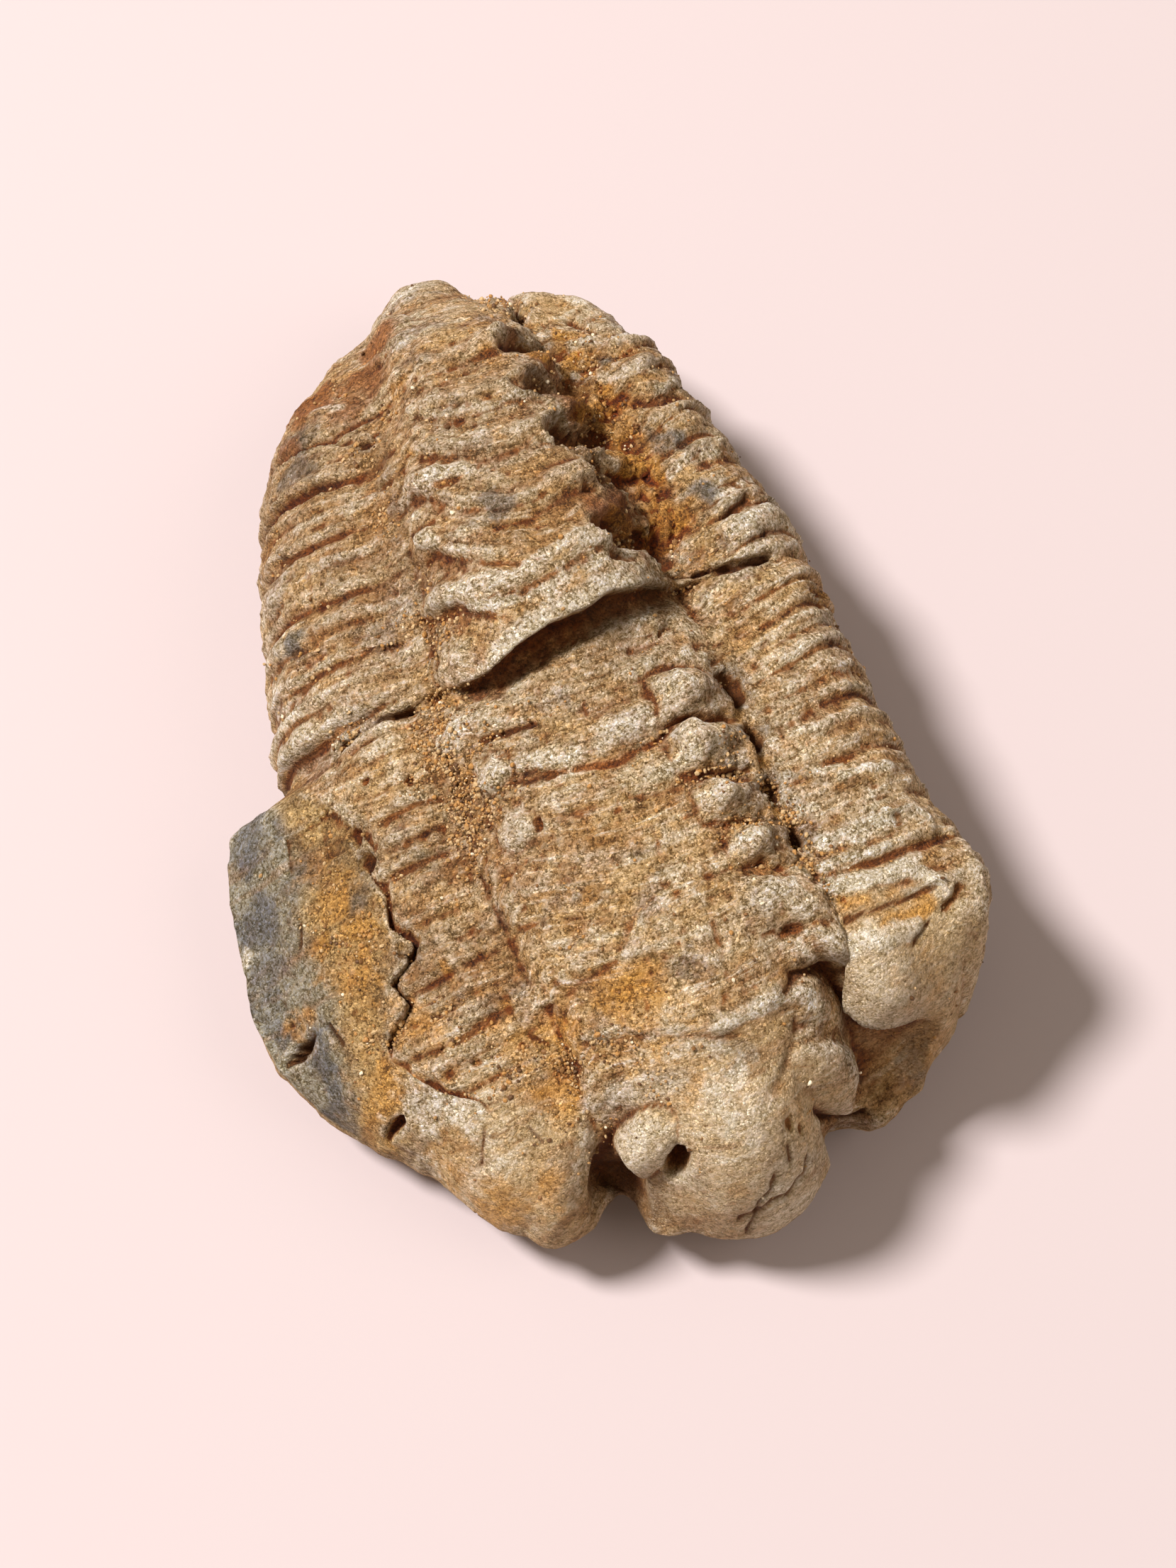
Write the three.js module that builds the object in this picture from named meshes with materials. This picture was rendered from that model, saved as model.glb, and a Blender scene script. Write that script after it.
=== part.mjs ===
// A trilobite fossil in its stone, lying on its underside: one closed solid, in millimetres.
//
// +Y is the tail, -Y the head, +X the animal's left as seen from above, +Z up. The origin lies under the
// middle of the stone, on the plane that it rests on.
//
// The top is one grid of points. Its rows follow the body segments across the stone, its columns run
// from head to tail, and both are squeezed into the stone's outline. A smooth body gives each point a
// height, and the relief (ribs, rings, knobs, pits) then moves it along the surface normal. Rings of
// points under the rim close the solid down to the flat patch that it rests on.

import * as THREE from "three";

// ---------------------------------------------------------------- driving dimensions (mm)

const RIM_HEIGHT = 5.0; // the widest line of the stone, above the table
const PLATE_RIM_HEIGHT = 6.6; // the same along the matrix plate on the -X side
const PLATE_SPAN = [-19, 1.0]; // from here to there in Y

const FRONT_PITCH = 3.13; // one body segment ahead of the ledge
const REAR_PITCH = 3.9; // one body segment behind it
const FIRST_REAR_CREST = 2.6; // Y of the first crest behind the ledge
const LAST_CREST = 22.1; // Y of the crest where the tail shield begins
const HEAD_LINE = -20.4; // Y where the segments end and the head begins

const RIB_HEIGHT = 0.38; // above and below the mean surface
const RIB_FURROW = 0.42; // depth of the furrow along the middle of a rib
const RIB_FURROW_SHARE = 0.36; // and its share of the rib's width
const RING_HEIGHT = { front: 0.16, rear: 0.3 };

const LEDGE_HEIGHT = 3.0; // the rear half stands this much higher at the axis
const LEDGE_WIDTH = 0.35; // horizontal run of its riser
const LEDGE_LEVEL = 0.4; // Y that the rows beside it would have without it
const SLIT_DEPTH = 1.2; // the slit in front of its lip
const SLIT_SPAN = { from: -6, deepFrom: -3, deepTo: 6.5, to: 8 }; // along X

const FLAT_PATCH = 0.64; // size of the resting patch, as a share of the outline
const SHARE_UNDER_RIM = 0.9; // the ring between rim and patch
const UNDER_RIM_HEIGHT = 1.7;

// Grid: rows per segment, rows on the head and the tail, and the columns.
const ROWS_PER_SEGMENT = 6;
const HEAD_ROWS = 15;
const TAIL_ROWS = 11;
const COLUMN_ZONES = [
  // the share across at the end of each zone, and its columns: dense at the rims and the furrows
  [0.04, 4], [0.24, 8], [0.42, 8], [0.61, 5], [0.8, 10], [0.95, 6], [1, 4],
];
const END_ROW_SQUEEZE = 1.6; // exponent that draws the end rows towards the rim
const END_REACH = 0.3; // share of the length over which rows bend to the shape of an end

// ---------------------------------------------------------------- outline (mm)

// The edges [x, y] from head to tail, and the two ends [x, y] from -X to +X.
const MINUS_X_EDGE = [
  [-13.2, -25.7], [-15.7, -22.8], [-18.1, -20.6], [-20.5, -17.8], [-22.2, -14.8], [-22.8, -11.3],
  [-22.5, -7.6], [-22.1, -4.2], [-21.5, -1.4], [-20.9, 0.0], [-18.4, 0.6], [-16.5, 1.2], [-16.6, 4.0],
  [-16.2, 7.0], [-15.5, 10.5], [-14.8, 13.6], [-13.9, 16.8], [-12.8, 20.2], [-10.8, 24.0],
];
const PLUS_X_EDGE = [
  [16.4, -24.3], [17.4, -22.9], [18.8, -20.8], [21.1, -17.4], [20.5, -14.9], [19.4, -12.2], [18.9, -8.8],
  [18.5, -5.4], [18.2, -2.5], [17.9, 0.0], [17.4, 4.0], [16.9, 7.6], [16.1, 11.2], [15.2, 15.0],
  [14.1, 18.4], [12.9, 21.6], [11.5, 24.9],
];
const HEAD_END = [
  [-13.2, -25.7], [-11.8, -27.7], [-10.0, -28.9], [-6.6, -29.5], [-4.6, -30.3], [-3.2, -31.1],
  [-1.9, -30.9], [0.2, -32.0], [2.4, -32.3], [4.7, -31.5], [6.8, -29.9], [8.2, -28.6], [10.8, -28.9],
  [14.0, -27.9], [15.0, -26.3], [16.4, -24.3],
];
const TAIL_END = [
  [-10.8, 24.0], [-8.6, 26.3], [-6.1, 28.5], [-3.0, 29.8], [-2.4, 30.9], [-0.3, 31.6], [1.9, 31.4],
  [3.8, 29.6], [6.3, 28.3], [9.0, 26.9], [11.5, 24.9],
];

// ---------------------------------------------------------------- body (mm)

// Along the body, from tail to head: Y, then X of the two furrows beside the axis, then the heights
// of the axis, of the -X and +X furrows and of the -X and +X flanks.
const STATIONS = [
  [33, -2.0, 4.2, 8.5, 7.0, 7.0, 6.0, 7.0],
  [28, -1.8, 5.0, 13.8, 12.4, 10.8, 10.4, 11.4],
  [24, -1.7, 5.8, 17.0, 15.4, 12.8, 13.0, 13.4],
  [18.5, -2.6, 6.4, 19.4, 17.4, 13.6, 15.4, 15.0],
  [13.5, -5.5, 7.0, 20.2, 17.6, 13.8, 16.4, 15.7],
  [9, -5.8, 7.4, 20.4, 17.6, 13.8, 16.7, 16.2],
  [4, -6.5, 8.0, 20.3, 17.0, 13.8, 16.6, 16.4],
  [-1, -7.3, 8.8, 20.2, 15.9, 14.8, 16.3, 16.8],
  [-10, -8.0, 8.9, 20.2, 15.2, 15.2, 15.5, 17.0],
  [-16, -7.3, 9.4, 20.0, 14.8, 15.2, 14.8, 16.8],
  [-20, -6.4, 10.1, 19.4, 14.2, 14.4, 14.0, 16.6],
  [-24, -5.8, 10.4, 18.4, 11.6, 10.4, 13.6, 15.2],
  [-28, -5.4, 9.2, 17.2, 8.4, 7.6, 12.6, 10.6],
  [-31, -3.2, 7.2, 14.5, 6.2, 6.0, 8.0, 7.0],
  [-34, -2.0, 6.0, 10.0, 5.0, 5.0, 5.0, 5.0],
];
const FLANK_RISE = 3.4; // X from a furrow to the full height of its flank
const FLANK_FALL = 0.1; // and the fall beyond that, per mm
const FLANK_FALL_TO_PLATE = 0.62; // the same where the ribs bend down to the plate
const AXIS_ROUNDNESS = 2.6; // exponent of the arch over the axis

// How square the stone's shoulders are: an exponent, larger for a flatter flank with a steeper edge.
const SHOULDER_MINUS_X = 5;
const SHOULDER_PLUS_X = { front: 14, rear: 10 };
const SHOULDER_ENDS = 12;
const SHOULDER_TURN = 0.58; // and the exponent of the turn down to the rim

// How far the ribs lean towards the tail, per mm beyond FAN_START on each side, at Y 0 and per mm of Y.
const FAN_START = 8.0;
const FAN_MINUS_X = { lean: 0.12, growth: 0.01 };
const FAN_PLUS_X = { lean: 0.34, growth: 0.0085 };

// The ledge between the two halves [x, y, share of LEDGE_HEIGHT].
const LEDGE = [
  [-16.5, 0.9, 0.1], [-13.2, 1.1, 0.15], [-7.8, 1.2, 0.22], [-6.4, 0.5, 0.45], [-4.4, -0.1, 0.75],
  [-2.4, 0.0, 0.95], [3.0, 1.3, 1.0], [5.4, 1.6, 1.0], [7.0, 2.1, 0.75], [8.6, 3.0, 0.35],
  [14.6, 3.6, 0.12], [20, 4.6, 0.05],
];
const LEDGE_FADE = 21; // Y behind the ledge by which the rear half is back at the body's height

// Round lumps and pits: [x, y, half width in X, half width in Y, height]. A pit's height is negative.
const AXIS_KNOBS_PLUS_X = [
  [5.8, -1.7, 2.0, 1.3, 0.5], [6.0, -4.7, 2.4, 1.7, 1.6], [6.1, -8.0, 2.4, 1.6, 1.6],
  [6.4, -11.4, 2.4, 1.5, 1.5], [7.0, -14.5, 2.4, 1.5, 1.4], [7.8, -17.6, 2.4, 1.5, 1.1],
];
const AXIS_PITS_PLUS_X = [
  [8.4, -4.6, 1.8, 1.5, -1.3], [8.8, -7.8, 1.7, 1.4, -1.3], [8.8, -10.9, 1.7, 1.3, -1.1],
  [9.2, -14.0, 1.7, 1.3, -1.0], [10.2, -20.2, 1.8, 1.1, -1.6], [5.2, -6.4, 2.2, 1.0, -0.9],
  [5.2, -9.7, 2.1, 1.0, -0.9], [5.6, -13.0, 2.1, 1.0, -0.8],
];
const AXIS_KNOBS_MINUS_X = [
  [-5.6, -1.5, 2.2, 1.4, 0.9], [-5.4, -4.9, 2.0, 1.5, 1.2], [-5.3, -8.6, 2.0, 1.5, 1.2],
  [-5.6, -11.8, 1.8, 1.4, 0.6], [-5.5, -15.3, 1.8, 1.4, 0.5], [-5.4, -18.0, 1.8, 1.4, 0.4],
];
const REAR_HOLLOWS = [
  [6.2, 22.4, 1.8, 1.5, -1.6], [5.6, 18.2, 2.2, 1.4, -1.9], [6.3, 14.4, 2.1, 1.3, -1.9],
  [6.9, 10.5, 1.9, 1.3, -1.6], [6.7, 6.0, 2.2, 2.2, -3.0], [3.4, 20.0, 1.8, 1.2, 0.8],
  [3.6, 15.9, 1.9, 1.3, 0.8], [4.2, 12.0, 1.9, 1.3, 0.8], [4.4, 8.2, 1.8, 1.2, 0.8],
];
const HEAD_LUMPS = [
  [-3.7, -27.0, 3.1, 2.9, 1.8], // the knob at the side of the glabella
  [-1.7, -28.6, 1.4, 1.1, -2.4], // the pit below it
  [7.5, -26.2, 2.9, 2.7, 2.2], // the knobs on the other side
  [7.9, -22.7, 2.2, 1.8, 1.5],
  [5.9, -21.9, 1.2, 1.0, -1.1],
  [5.3, -24.6, 1.6, 1.6, -0.9],
  [8.2, -28.4, 2.4, 1.4, -1.4],
  [1.8, -29.2, 5.4, 4.2, 1.4], // the front of the glabella
  [-9.4, -25.8, 4.6, 5.0, 0.9], // the -X cheek
  [-6.2, -27.2, 1.5, 3.8, -2.0], // its furrow
  [13.2, -21.0, 5.0, 4.2, 1.2], // the +X cheek
  [12.0, -26.4, 3.4, 2.4, -2.8], // the hollow under it
  [18.4, -19.8, 2.6, 4.0, 0.9], // its raised margin
  [-20.7, -14.6, 1.7, 0.9, -2.0], // notches in the plate
  [-17.2, -20.7, 1.5, 0.8, -1.2],
];
const TAIL_LUMPS = [
  [8.4, 26.4, 4.0, 3.0, 1.5], // the lobe behind the jagged cleft
  [0.6, 30.0, 3.0, 2.2, 0.9], // the tip
  [5.0, 28.6, 1.1, 2.2, -2.2], // the cleft
  [5.6, 25.6, 1.3, 1.3, -1.8],
];
const LUMPS = [
  ...AXIS_KNOBS_PLUS_X, ...AXIS_PITS_PLUS_X, ...AXIS_KNOBS_MINUS_X,
  ...REAR_HOLLOWS, ...HEAD_LUMPS, ...TAIL_LUMPS,
];

// The inner edge of the matrix plate [x, y], from tail to head, where it stands above the ribs.
const PLATE_EDGE = [
  [-16.0, -0.8], [-14.7, -2.7], [-13.9, -4.6], [-13.4, -6.0], [-14.1, -7.3], [-13.4, -9.2],
  [-13.8, -10.6], [-12.8, -12.2], [-14.6, -13.3], [-14.1, -15.6], [-16.1, -17.0], [-15.9, -17.9],
  [-15.0, -19.2], [-13.8, -20.6], [-12.0, -21.9], [-10.8, -23.8],
];
const PLATE_HEIGHT = 14.6; // of its top at PLATE_START, falling by PLATE_FALL per mm towards -X
const PLATE_START = -13;
const PLATE_FALL = 0.42;
const PLATE_BREAK = -18.8; // X beyond which its face is broken down, by BREAK_FALL per mm more
const BREAK_FALL = 0.75;
const PLATE_STEP = 1.1; // X over which the plate's edge rises
const EDGE_GAP = { depth: 0.9, halfWidth: 1.0 }; // the crack beside that edge

// ---------------------------------------------------------------- small functions

const clamp = THREE.MathUtils.clamp;
const mix = THREE.MathUtils.lerp;
const smooth = (from, to, t) => THREE.MathUtils.smoothstep(t, from, to);
const smoothDown = (from, to, t) => 1 - smooth(from, to, t);

// Reads column `column` of a table at `at`, where column `key` rises from row to row.
function readTable(table, at, key, column) {
  const last = table.length - 1;
  let i = 0;
  while (i < last - 1 && at > table[i + 1][key]) i++;
  const span = table[i + 1][key] - table[i][key];
  const t = clamp((at - table[i][key]) / span, 0, 1);
  return mix(table[i][column], table[i + 1][column], t);
}

// ---------------------------------------------------------------- rows that follow the segments

// A point's level is the Y at which its row crosses the axis. Beside the axis the rows lean to the tail.
const fanOf = (x) => (x < 0 ? FAN_MINUS_X : FAN_PLUS_X);
const beyondFan = (x) => Math.max(0, Math.abs(x) - FAN_START);

function levelAt(x, y) {
  const { lean, growth } = fanOf(x);
  return (y - lean * beyondFan(x)) / (1 + growth * beyondFan(x));
}

function yAtLevel(x, level) {
  const { lean, growth } = fanOf(x);
  return level + (lean + growth * level) * beyondFan(x);
}

const withLevel = (points) => points.map(([x, y]) => [x, y, levelAt(x, y)]);
const minusEdge = withLevel(MINUS_X_EDGE);
const plusEdge = withLevel(PLUS_X_EDGE);
const headEnd = withLevel(HEAD_END);
const tailEnd = withLevel(TAIL_END);
const FIRST_LEVEL = Math.max(minusEdge[0][2], plusEdge[0][2]);
const LAST_LEVEL = Math.min(minusEdge.at(-1)[2], plusEdge.at(-1)[2]);

// Segments are counted from the ledge: whole numbers are crests.
function segmentAt(level) {
  const ahead = level < FIRST_REAR_CREST;
  return (level - FIRST_REAR_CREST) / (ahead ? FRONT_PITCH : REAR_PITCH);
}

function levelOfSegment(segment) {
  return FIRST_REAR_CREST + segment * (segment < 0 ? FRONT_PITCH : REAR_PITCH);
}

// The levels of all rows, as shares from the first to the last: closer together towards the two ends,
// ROWS_PER_SEGMENT to each segment, and one on each side of the ledge's riser.
function rowShares() {
  const first = Math.round(segmentAt(HEAD_LINE) * ROWS_PER_SEGMENT);
  const last = Math.round(segmentAt(LAST_CREST) * ROWS_PER_SEGMENT);
  const levels = [LEDGE_LEVEL - LEDGE_WIDTH / 2, LEDGE_LEVEL + LEDGE_WIDTH / 2];
  for (let i = first; i <= last; i++) {
    const level = levelOfSegment(i / ROWS_PER_SEGMENT);
    if (Math.abs(level - LEDGE_LEVEL) > LEDGE_WIDTH) levels.push(level);
  }
  levels.sort((a, b) => a - b);
  const shareOf = (level) => (level - FIRST_LEVEL) / (LAST_LEVEL - FIRST_LEVEL);
  const shares = levels.map(shareOf);
  const head = endShares(shares[0], HEAD_ROWS);
  const tail = endShares(1 - shares.at(-1), TAIL_ROWS).map((t) => 1 - t);
  return [...head, ...shares, ...tail.reverse()];
}

// Shares from 0 up to `limit`, closer together near 0, where the surface turns down to the rim.
function endShares(limit, count) {
  const shares = [];
  for (let i = 0; i < count; i++) shares.push(limit * Math.pow(i / count, END_ROW_SQUEEZE));
  return shares;
}

// The shares across of all columns, zone by zone.
function columnShares() {
  const shares = [0];
  for (const [end, count] of COLUMN_ZONES) {
    const start = shares.at(-1);
    for (let i = 1; i <= count; i++) shares.push(mix(start, end, i / count));
  }
  return shares;
}

// How strongly a row takes the shape of the end that it is near: 1 at the end, 0 beyond END_REACH.
const endWeight = (share) => Math.pow(clamp(1 - share / END_REACH, 0, 1), 2);

// The plan position of a grid point. `across` and `along` run from 0 to 1.
function planPoint(across, along) {
  const level = mix(FIRST_LEVEL, LAST_LEVEL, along);
  const x = mix(readTable(minusEdge, level, 2, 0), readTable(plusEdge, level, 2, 0), across);
  const headX = mix(minusEdge[0][0], plusEdge[0][0], across);
  const tailX = mix(minusEdge.at(-1)[0], plusEdge.at(-1)[0], across);
  const headPull = readTable(headEnd, headX, 0, 2) - FIRST_LEVEL;
  const tailPull = readTable(tailEnd, tailX, 0, 2) - LAST_LEVEL;
  const bent = level + endWeight(along) * headPull + endWeight(1 - along) * tailPull;
  return { x, y: yAtLevel(x, bent) + ledgePull(x, bent, across) };
}

// Moves the rows near the ledge so that they follow its lip, and leaves the rim where it is.
function ledgePull(x, level, across) {
  const lip = readTable(LEDGE, x, 0, 1);
  const near = smoothDown(0, 4, Math.abs(level - LEDGE_LEVEL));
  const insideRim = 1 - Math.pow(2 * across - 1, 8);
  return (lip - yAtLevel(x, LEDGE_LEVEL)) * near * insideRim;
}

// ---------------------------------------------------------------- the smooth body

// The height of the body away from its rim: an arch between the two furrows, and a flank on each side.
const byY = [...STATIONS].reverse();
const station = (y, column) => readTable(byY, y, 0, column);

function crown(x, y) {
  const furrowMinus = station(y, 1);
  const furrowPlus = station(y, 2);
  const top = station(y, 3);
  const middle = (furrowMinus + furrowPlus) / 2;
  const onPlusSide = x > middle;
  const furrow = onPlusSide ? furrowPlus : furrowMinus;
  const floor = station(y, onPlusSide ? 5 : 4);
  const flank = station(y, onPlusSide ? 7 : 6);
  const fromMiddle = (x - middle) / (furrow - middle);
  if (fromMiddle < 1) return mix(top, floor, Math.pow(fromMiddle, AXIS_ROUNDNESS));
  const beyond = Math.abs(x - furrow);
  const risen = mix(floor, flank, smooth(0, FLANK_RISE, beyond));
  const fall = mix(FLANK_FALL, FLANK_FALL_TO_PLATE, besidePlate(x, y));
  return risen - fall * Math.max(0, beyond - FLANK_RISE);
}

// 1 on the body, falling steeply to 0 at the rim.
function shoulder(across, along) {
  const side = Math.abs(2 * across - 1);
  const end = Math.abs(2 * along - 1);
  const plusSide = mix(SHOULDER_PLUS_X.front, SHOULDER_PLUS_X.rear, smooth(0.45, 0.75, along));
  const squareness = across < 0.5 ? SHOULDER_MINUS_X : plusSide;
  const atSides = Math.pow(1 - Math.pow(side, squareness), SHOULDER_TURN);
  const atEnds = Math.pow(1 - Math.pow(end, SHOULDER_ENDS), SHOULDER_TURN);
  return atSides * atEnds;
}

// 1 on the side of the plate and along its length, 0 elsewhere.
function besidePlate(x, y) {
  const [from, to] = PLATE_SPAN;
  return x < 0 ? smooth(from, from + 4, y) * smoothDown(to, to + 2, y) : 0;
}

const rimHeight = (x, y) => mix(RIM_HEIGHT, PLATE_RIM_HEIGHT, besidePlate(x, y));

// ---------------------------------------------------------------- the matrix plate

const plateEdgeByY = [...PLATE_EDGE].reverse();

// How far a point lies beyond the plate's inner edge, towards -X. It is negative on the fossil.
function intoPlate(x, y) {
  const pastTail = y > PLATE_SPAN[1];
  const pastHead = y < PLATE_EDGE.at(-1)[1];
  return pastTail || pastHead ? -Infinity : readTable(plateEdgeByY, y, 1, 0) - x;
}

const onPlateAt = (x, y) => smooth(-PLATE_STEP / 2, PLATE_STEP / 2, intoPlate(x, y));

function plateTop(x) {
  const slope = PLATE_HEIGHT - PLATE_FALL * (PLATE_START - x);
  return slope - BREAK_FALL * Math.max(0, PLATE_BREAK - x);
}

// The crack in the fossil beside the plate's edge: a groove with its middle half a width before it.
function edgeGap(x, y) {
  const fromGap = Math.abs(intoPlate(x, y) + EDGE_GAP.halfWidth);
  return EDGE_GAP.depth * clamp(1 - fromGap / EDGE_GAP.halfWidth, 0, 1);
}

// ---------------------------------------------------------------- relief

// The ledge lifts the rear half. It is steep at its lip and fades out towards the tail.
function ledgeLift(x, y) {
  const lip = readTable(LEDGE, x, 0, 1);
  const share = readTable(LEDGE, x, 0, 2);
  const behind = smooth(-LEDGE_WIDTH / 2, LEDGE_WIDTH / 2, y - lip);
  return LEDGE_HEIGHT * share * behind * smoothDown(2, LEDGE_FADE, y - lip);
}

// The slit in front of the lip, along the axis only.
function ledgeSlit(x, y) {
  const { from, deepFrom, deepTo, to } = SLIT_SPAN;
  const before = readTable(LEDGE, x, 0, 1) - y;
  const alongAxis = smooth(from, deepFrom, x) * smoothDown(deepTo, to, x);
  return -SLIT_DEPTH * alongAxis * smooth(-0.2, 0.25, before) * smoothDown(0.5, 1.5, before);
}

// Where a level lies in its segment: 0 on the crest, 1 in the furrow to either side.
const fromCrest = (level) => 2 * Math.abs(segmentAt(level) - Math.round(segmentAt(level)));
const segmentWave = (far) => 1 - 2 * Math.pow(far, 3);

function ribs(x, y) {
  const level = levelAt(x, y);
  const far = fromCrest(level);
  const onFlank = smooth(0.6, 2.6, distanceFromAxis(x, y));
  const onThorax = smooth(HEAD_LINE - 1.4, HEAD_LINE + 0.8, level) * smoothDown(19, 25, level);
  const furrow = RIB_FURROW * smoothDown(0, RIB_FURROW_SHARE, far);
  return onFlank * onThorax * (RIB_HEIGHT * segmentWave(far) - furrow);
}

function rings(x, y) {
  const onAxis = smoothDown(-1.2, 0.4, distanceFromAxis(x, y));
  const onThorax = smooth(HEAD_LINE - 1, HEAD_LINE + 1, y) * smoothDown(22, 28, y);
  const height = mix(RING_HEIGHT.front, RING_HEIGHT.rear, smooth(-2, 2, y));
  return onAxis * onThorax * height * segmentWave(fromCrest(y));
}

// Distance outside the two furrows beside the axis; negative on the axis.
function distanceFromAxis(x, y) {
  return Math.max(station(y, 1) - x, x - station(y, 2));
}

function lumps(x, y) {
  let height = 0;
  for (const [cx, cy, rx, ry, rise] of LUMPS) {
    const far = ((x - cx) / rx) ** 2 + ((y - cy) / ry) ** 2;
    if (far < 1) height += rise * (1 - far) * (1 - far * 0.5);
  }
  return height;
}

// The plate has no ribs of its own.
function relief(x, y) {
  const segments = ribs(x, y) + rings(x, y) + ledgeSlit(x, y);
  return lumps(x, y) + segments * (1 - onPlateAt(x, y));
}

// The body with its plate, before the relief along the normal.
function bodyPoint(across, along) {
  const { x, y } = planPoint(across, along);
  const rim = rimHeight(x, y);
  const fossilTop = crown(x, y) + ledgeLift(x, y) - edgeGap(x, y);
  const top = mix(fossilTop, plateTop(x), onPlateAt(x, y));
  return new THREE.Vector3(x, y, rim + Math.max(0, top - rim) * shoulder(across, along));
}

// The body's outward normal, from the points a small share away on each side.
function bodyNormal(across, along) {
  const reach = 0.012;
  const [less, more] = [clamp(across - reach, 0, 1), clamp(across + reach, 0, 1)];
  const [before, after] = [clamp(along - reach, 0, 1), clamp(along + reach, 0, 1)];
  const acrossStone = bodyPoint(more, along).sub(bodyPoint(less, along));
  const alongStone = bodyPoint(across, after).sub(bodyPoint(across, before));
  return acrossStone.cross(alongStone).normalize();
}

// The finished surface point: the body moved along its own normal by the relief.
function surfacePoint(across, along) {
  const here = bodyPoint(across, along);
  return here.addScaledVector(bodyNormal(across, along), relief(here.x, here.y));
}

// ---------------------------------------------------------------- the mesh

const points = [];
const triangles = [];
const addPoint = (p) => points.push(p) - 1;
const addTriangle = (a, b, c) => triangles.push(a, b, c);

function addTop() {
  const columns = columnShares();
  const rows = rowShares().map((along) => columns.map((across) => addPoint(surfacePoint(across, along))));
  for (let j = 0; j + 1 < rows.length; j++)
    for (let i = 0; i + 1 < columns.length; i++)
      addCell(rows[j][i], rows[j][i + 1], rows[j + 1][i + 1], rows[j + 1][i]);
  return rimOf(rows);
}

// Two triangles, split along the shorter diagonal.
function addCell(a, b, c, d) {
  if (points[a].distanceTo(points[c]) < points[b].distanceTo(points[d])) {
    addTriangle(a, b, c);
    addTriangle(a, c, d);
  } else {
    addTriangle(a, b, d);
    addTriangle(b, c, d);
  }
}

// The border of the grid, once round, counter-clockwise seen from above.
function rimOf(rows) {
  const last = rows.length - 1;
  const head = rows[0].slice(0, -1);
  const plus = rows.slice(0, -1).map((row) => row.at(-1));
  const tail = rows[last].slice(1).reverse();
  const minus = rows.slice(1).map((row) => row[0]).reverse();
  return [...head, ...plus, ...tail, ...minus];
}

// A ring of half as many points, drawn in towards the middle and set at one height.
function ringBelow(ring, share, height, every) {
  const kept = ring.filter((_, i) => i % every === 0);
  return kept.map((i) => addPoint(new THREE.Vector3(points[i].x * share, points[i].y * share, height)));
}

// Joins a ring to the one below it, which has as many points or half as many.
function addBand(ring, below) {
  const every = ring.length / below.length;
  const at = (list, i) => list[i % list.length];
  for (let i = 0; i < ring.length; i++) {
    const under = at(below, Math.floor(i / every));
    addTriangle(at(ring, i + 1), at(ring, i), under);
    if ((i + 1) % every === 0) addTriangle(at(ring, i + 1), under, at(below, (i + 1) / every));
  }
}

function addUnderside(rim) {
  const low = ringBelow(rim, SHARE_UNDER_RIM, UNDER_RIM_HEIGHT, 2);
  addBand(rim, low);
  const patch = ringBelow(low, FLAT_PATCH / SHARE_UNDER_RIM, 0, 2);
  addBand(low, patch);
  const middle = addPoint(new THREE.Vector3(0, 0, 0));
  patch.forEach((p, i) => addTriangle(patch[(i + 1) % patch.length], p, middle));
}

addUnderside(addTop());

const geometry = new THREE.BufferGeometry().setFromPoints(points);
geometry.setIndex(triangles);
geometry.computeBoundingBox();
const middleOfStone = geometry.boundingBox.getCenter(new THREE.Vector3());
geometry.translate(-middleOfStone.x, -middleOfStone.y, -geometry.boundingBox.min.z);
geometry.computeVertexNormals();

const stone = new THREE.MeshStandardMaterial({ color: 0x9c7f5c, roughness: 0.92, metalness: 0 });
const fossil = new THREE.Mesh(geometry, stone);
fossil.name = "trilobite_fossil";

const part = new THREE.Group();
part.name = "trilobite";
part.add(fossil);

export default part;
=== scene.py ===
# %% [markdown]
# # A trilobite fossil in its stone
#
# The object is one palm-sized piece of mudstone. A trilobite lies in it with its back up: a ribbed body in
# three lobes, a knobbly head at one end and a tapering tail at the other. A broken slab of the rock that
# once covered it still hangs on at one side. Nothing here was manufactured, so there are no flat faces and
# no true circles. The stone has to be *sculpted*.
#
# Blender offers several ways to sculpt in code. Modifiers such as Displace are quick but know nothing of
# where a rib or a knob should be. Here the whole top of the stone is one grid of points instead. NumPy
# moves the points in a few layers, from the big form down to single pits, and the shader adds only what is
# finer than the mesh. We work in millimetres while sculpting, because that is how one measures a fossil,
# and turn to metres when the mesh is made.

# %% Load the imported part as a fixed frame
import math
from itertools import combinations

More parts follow.
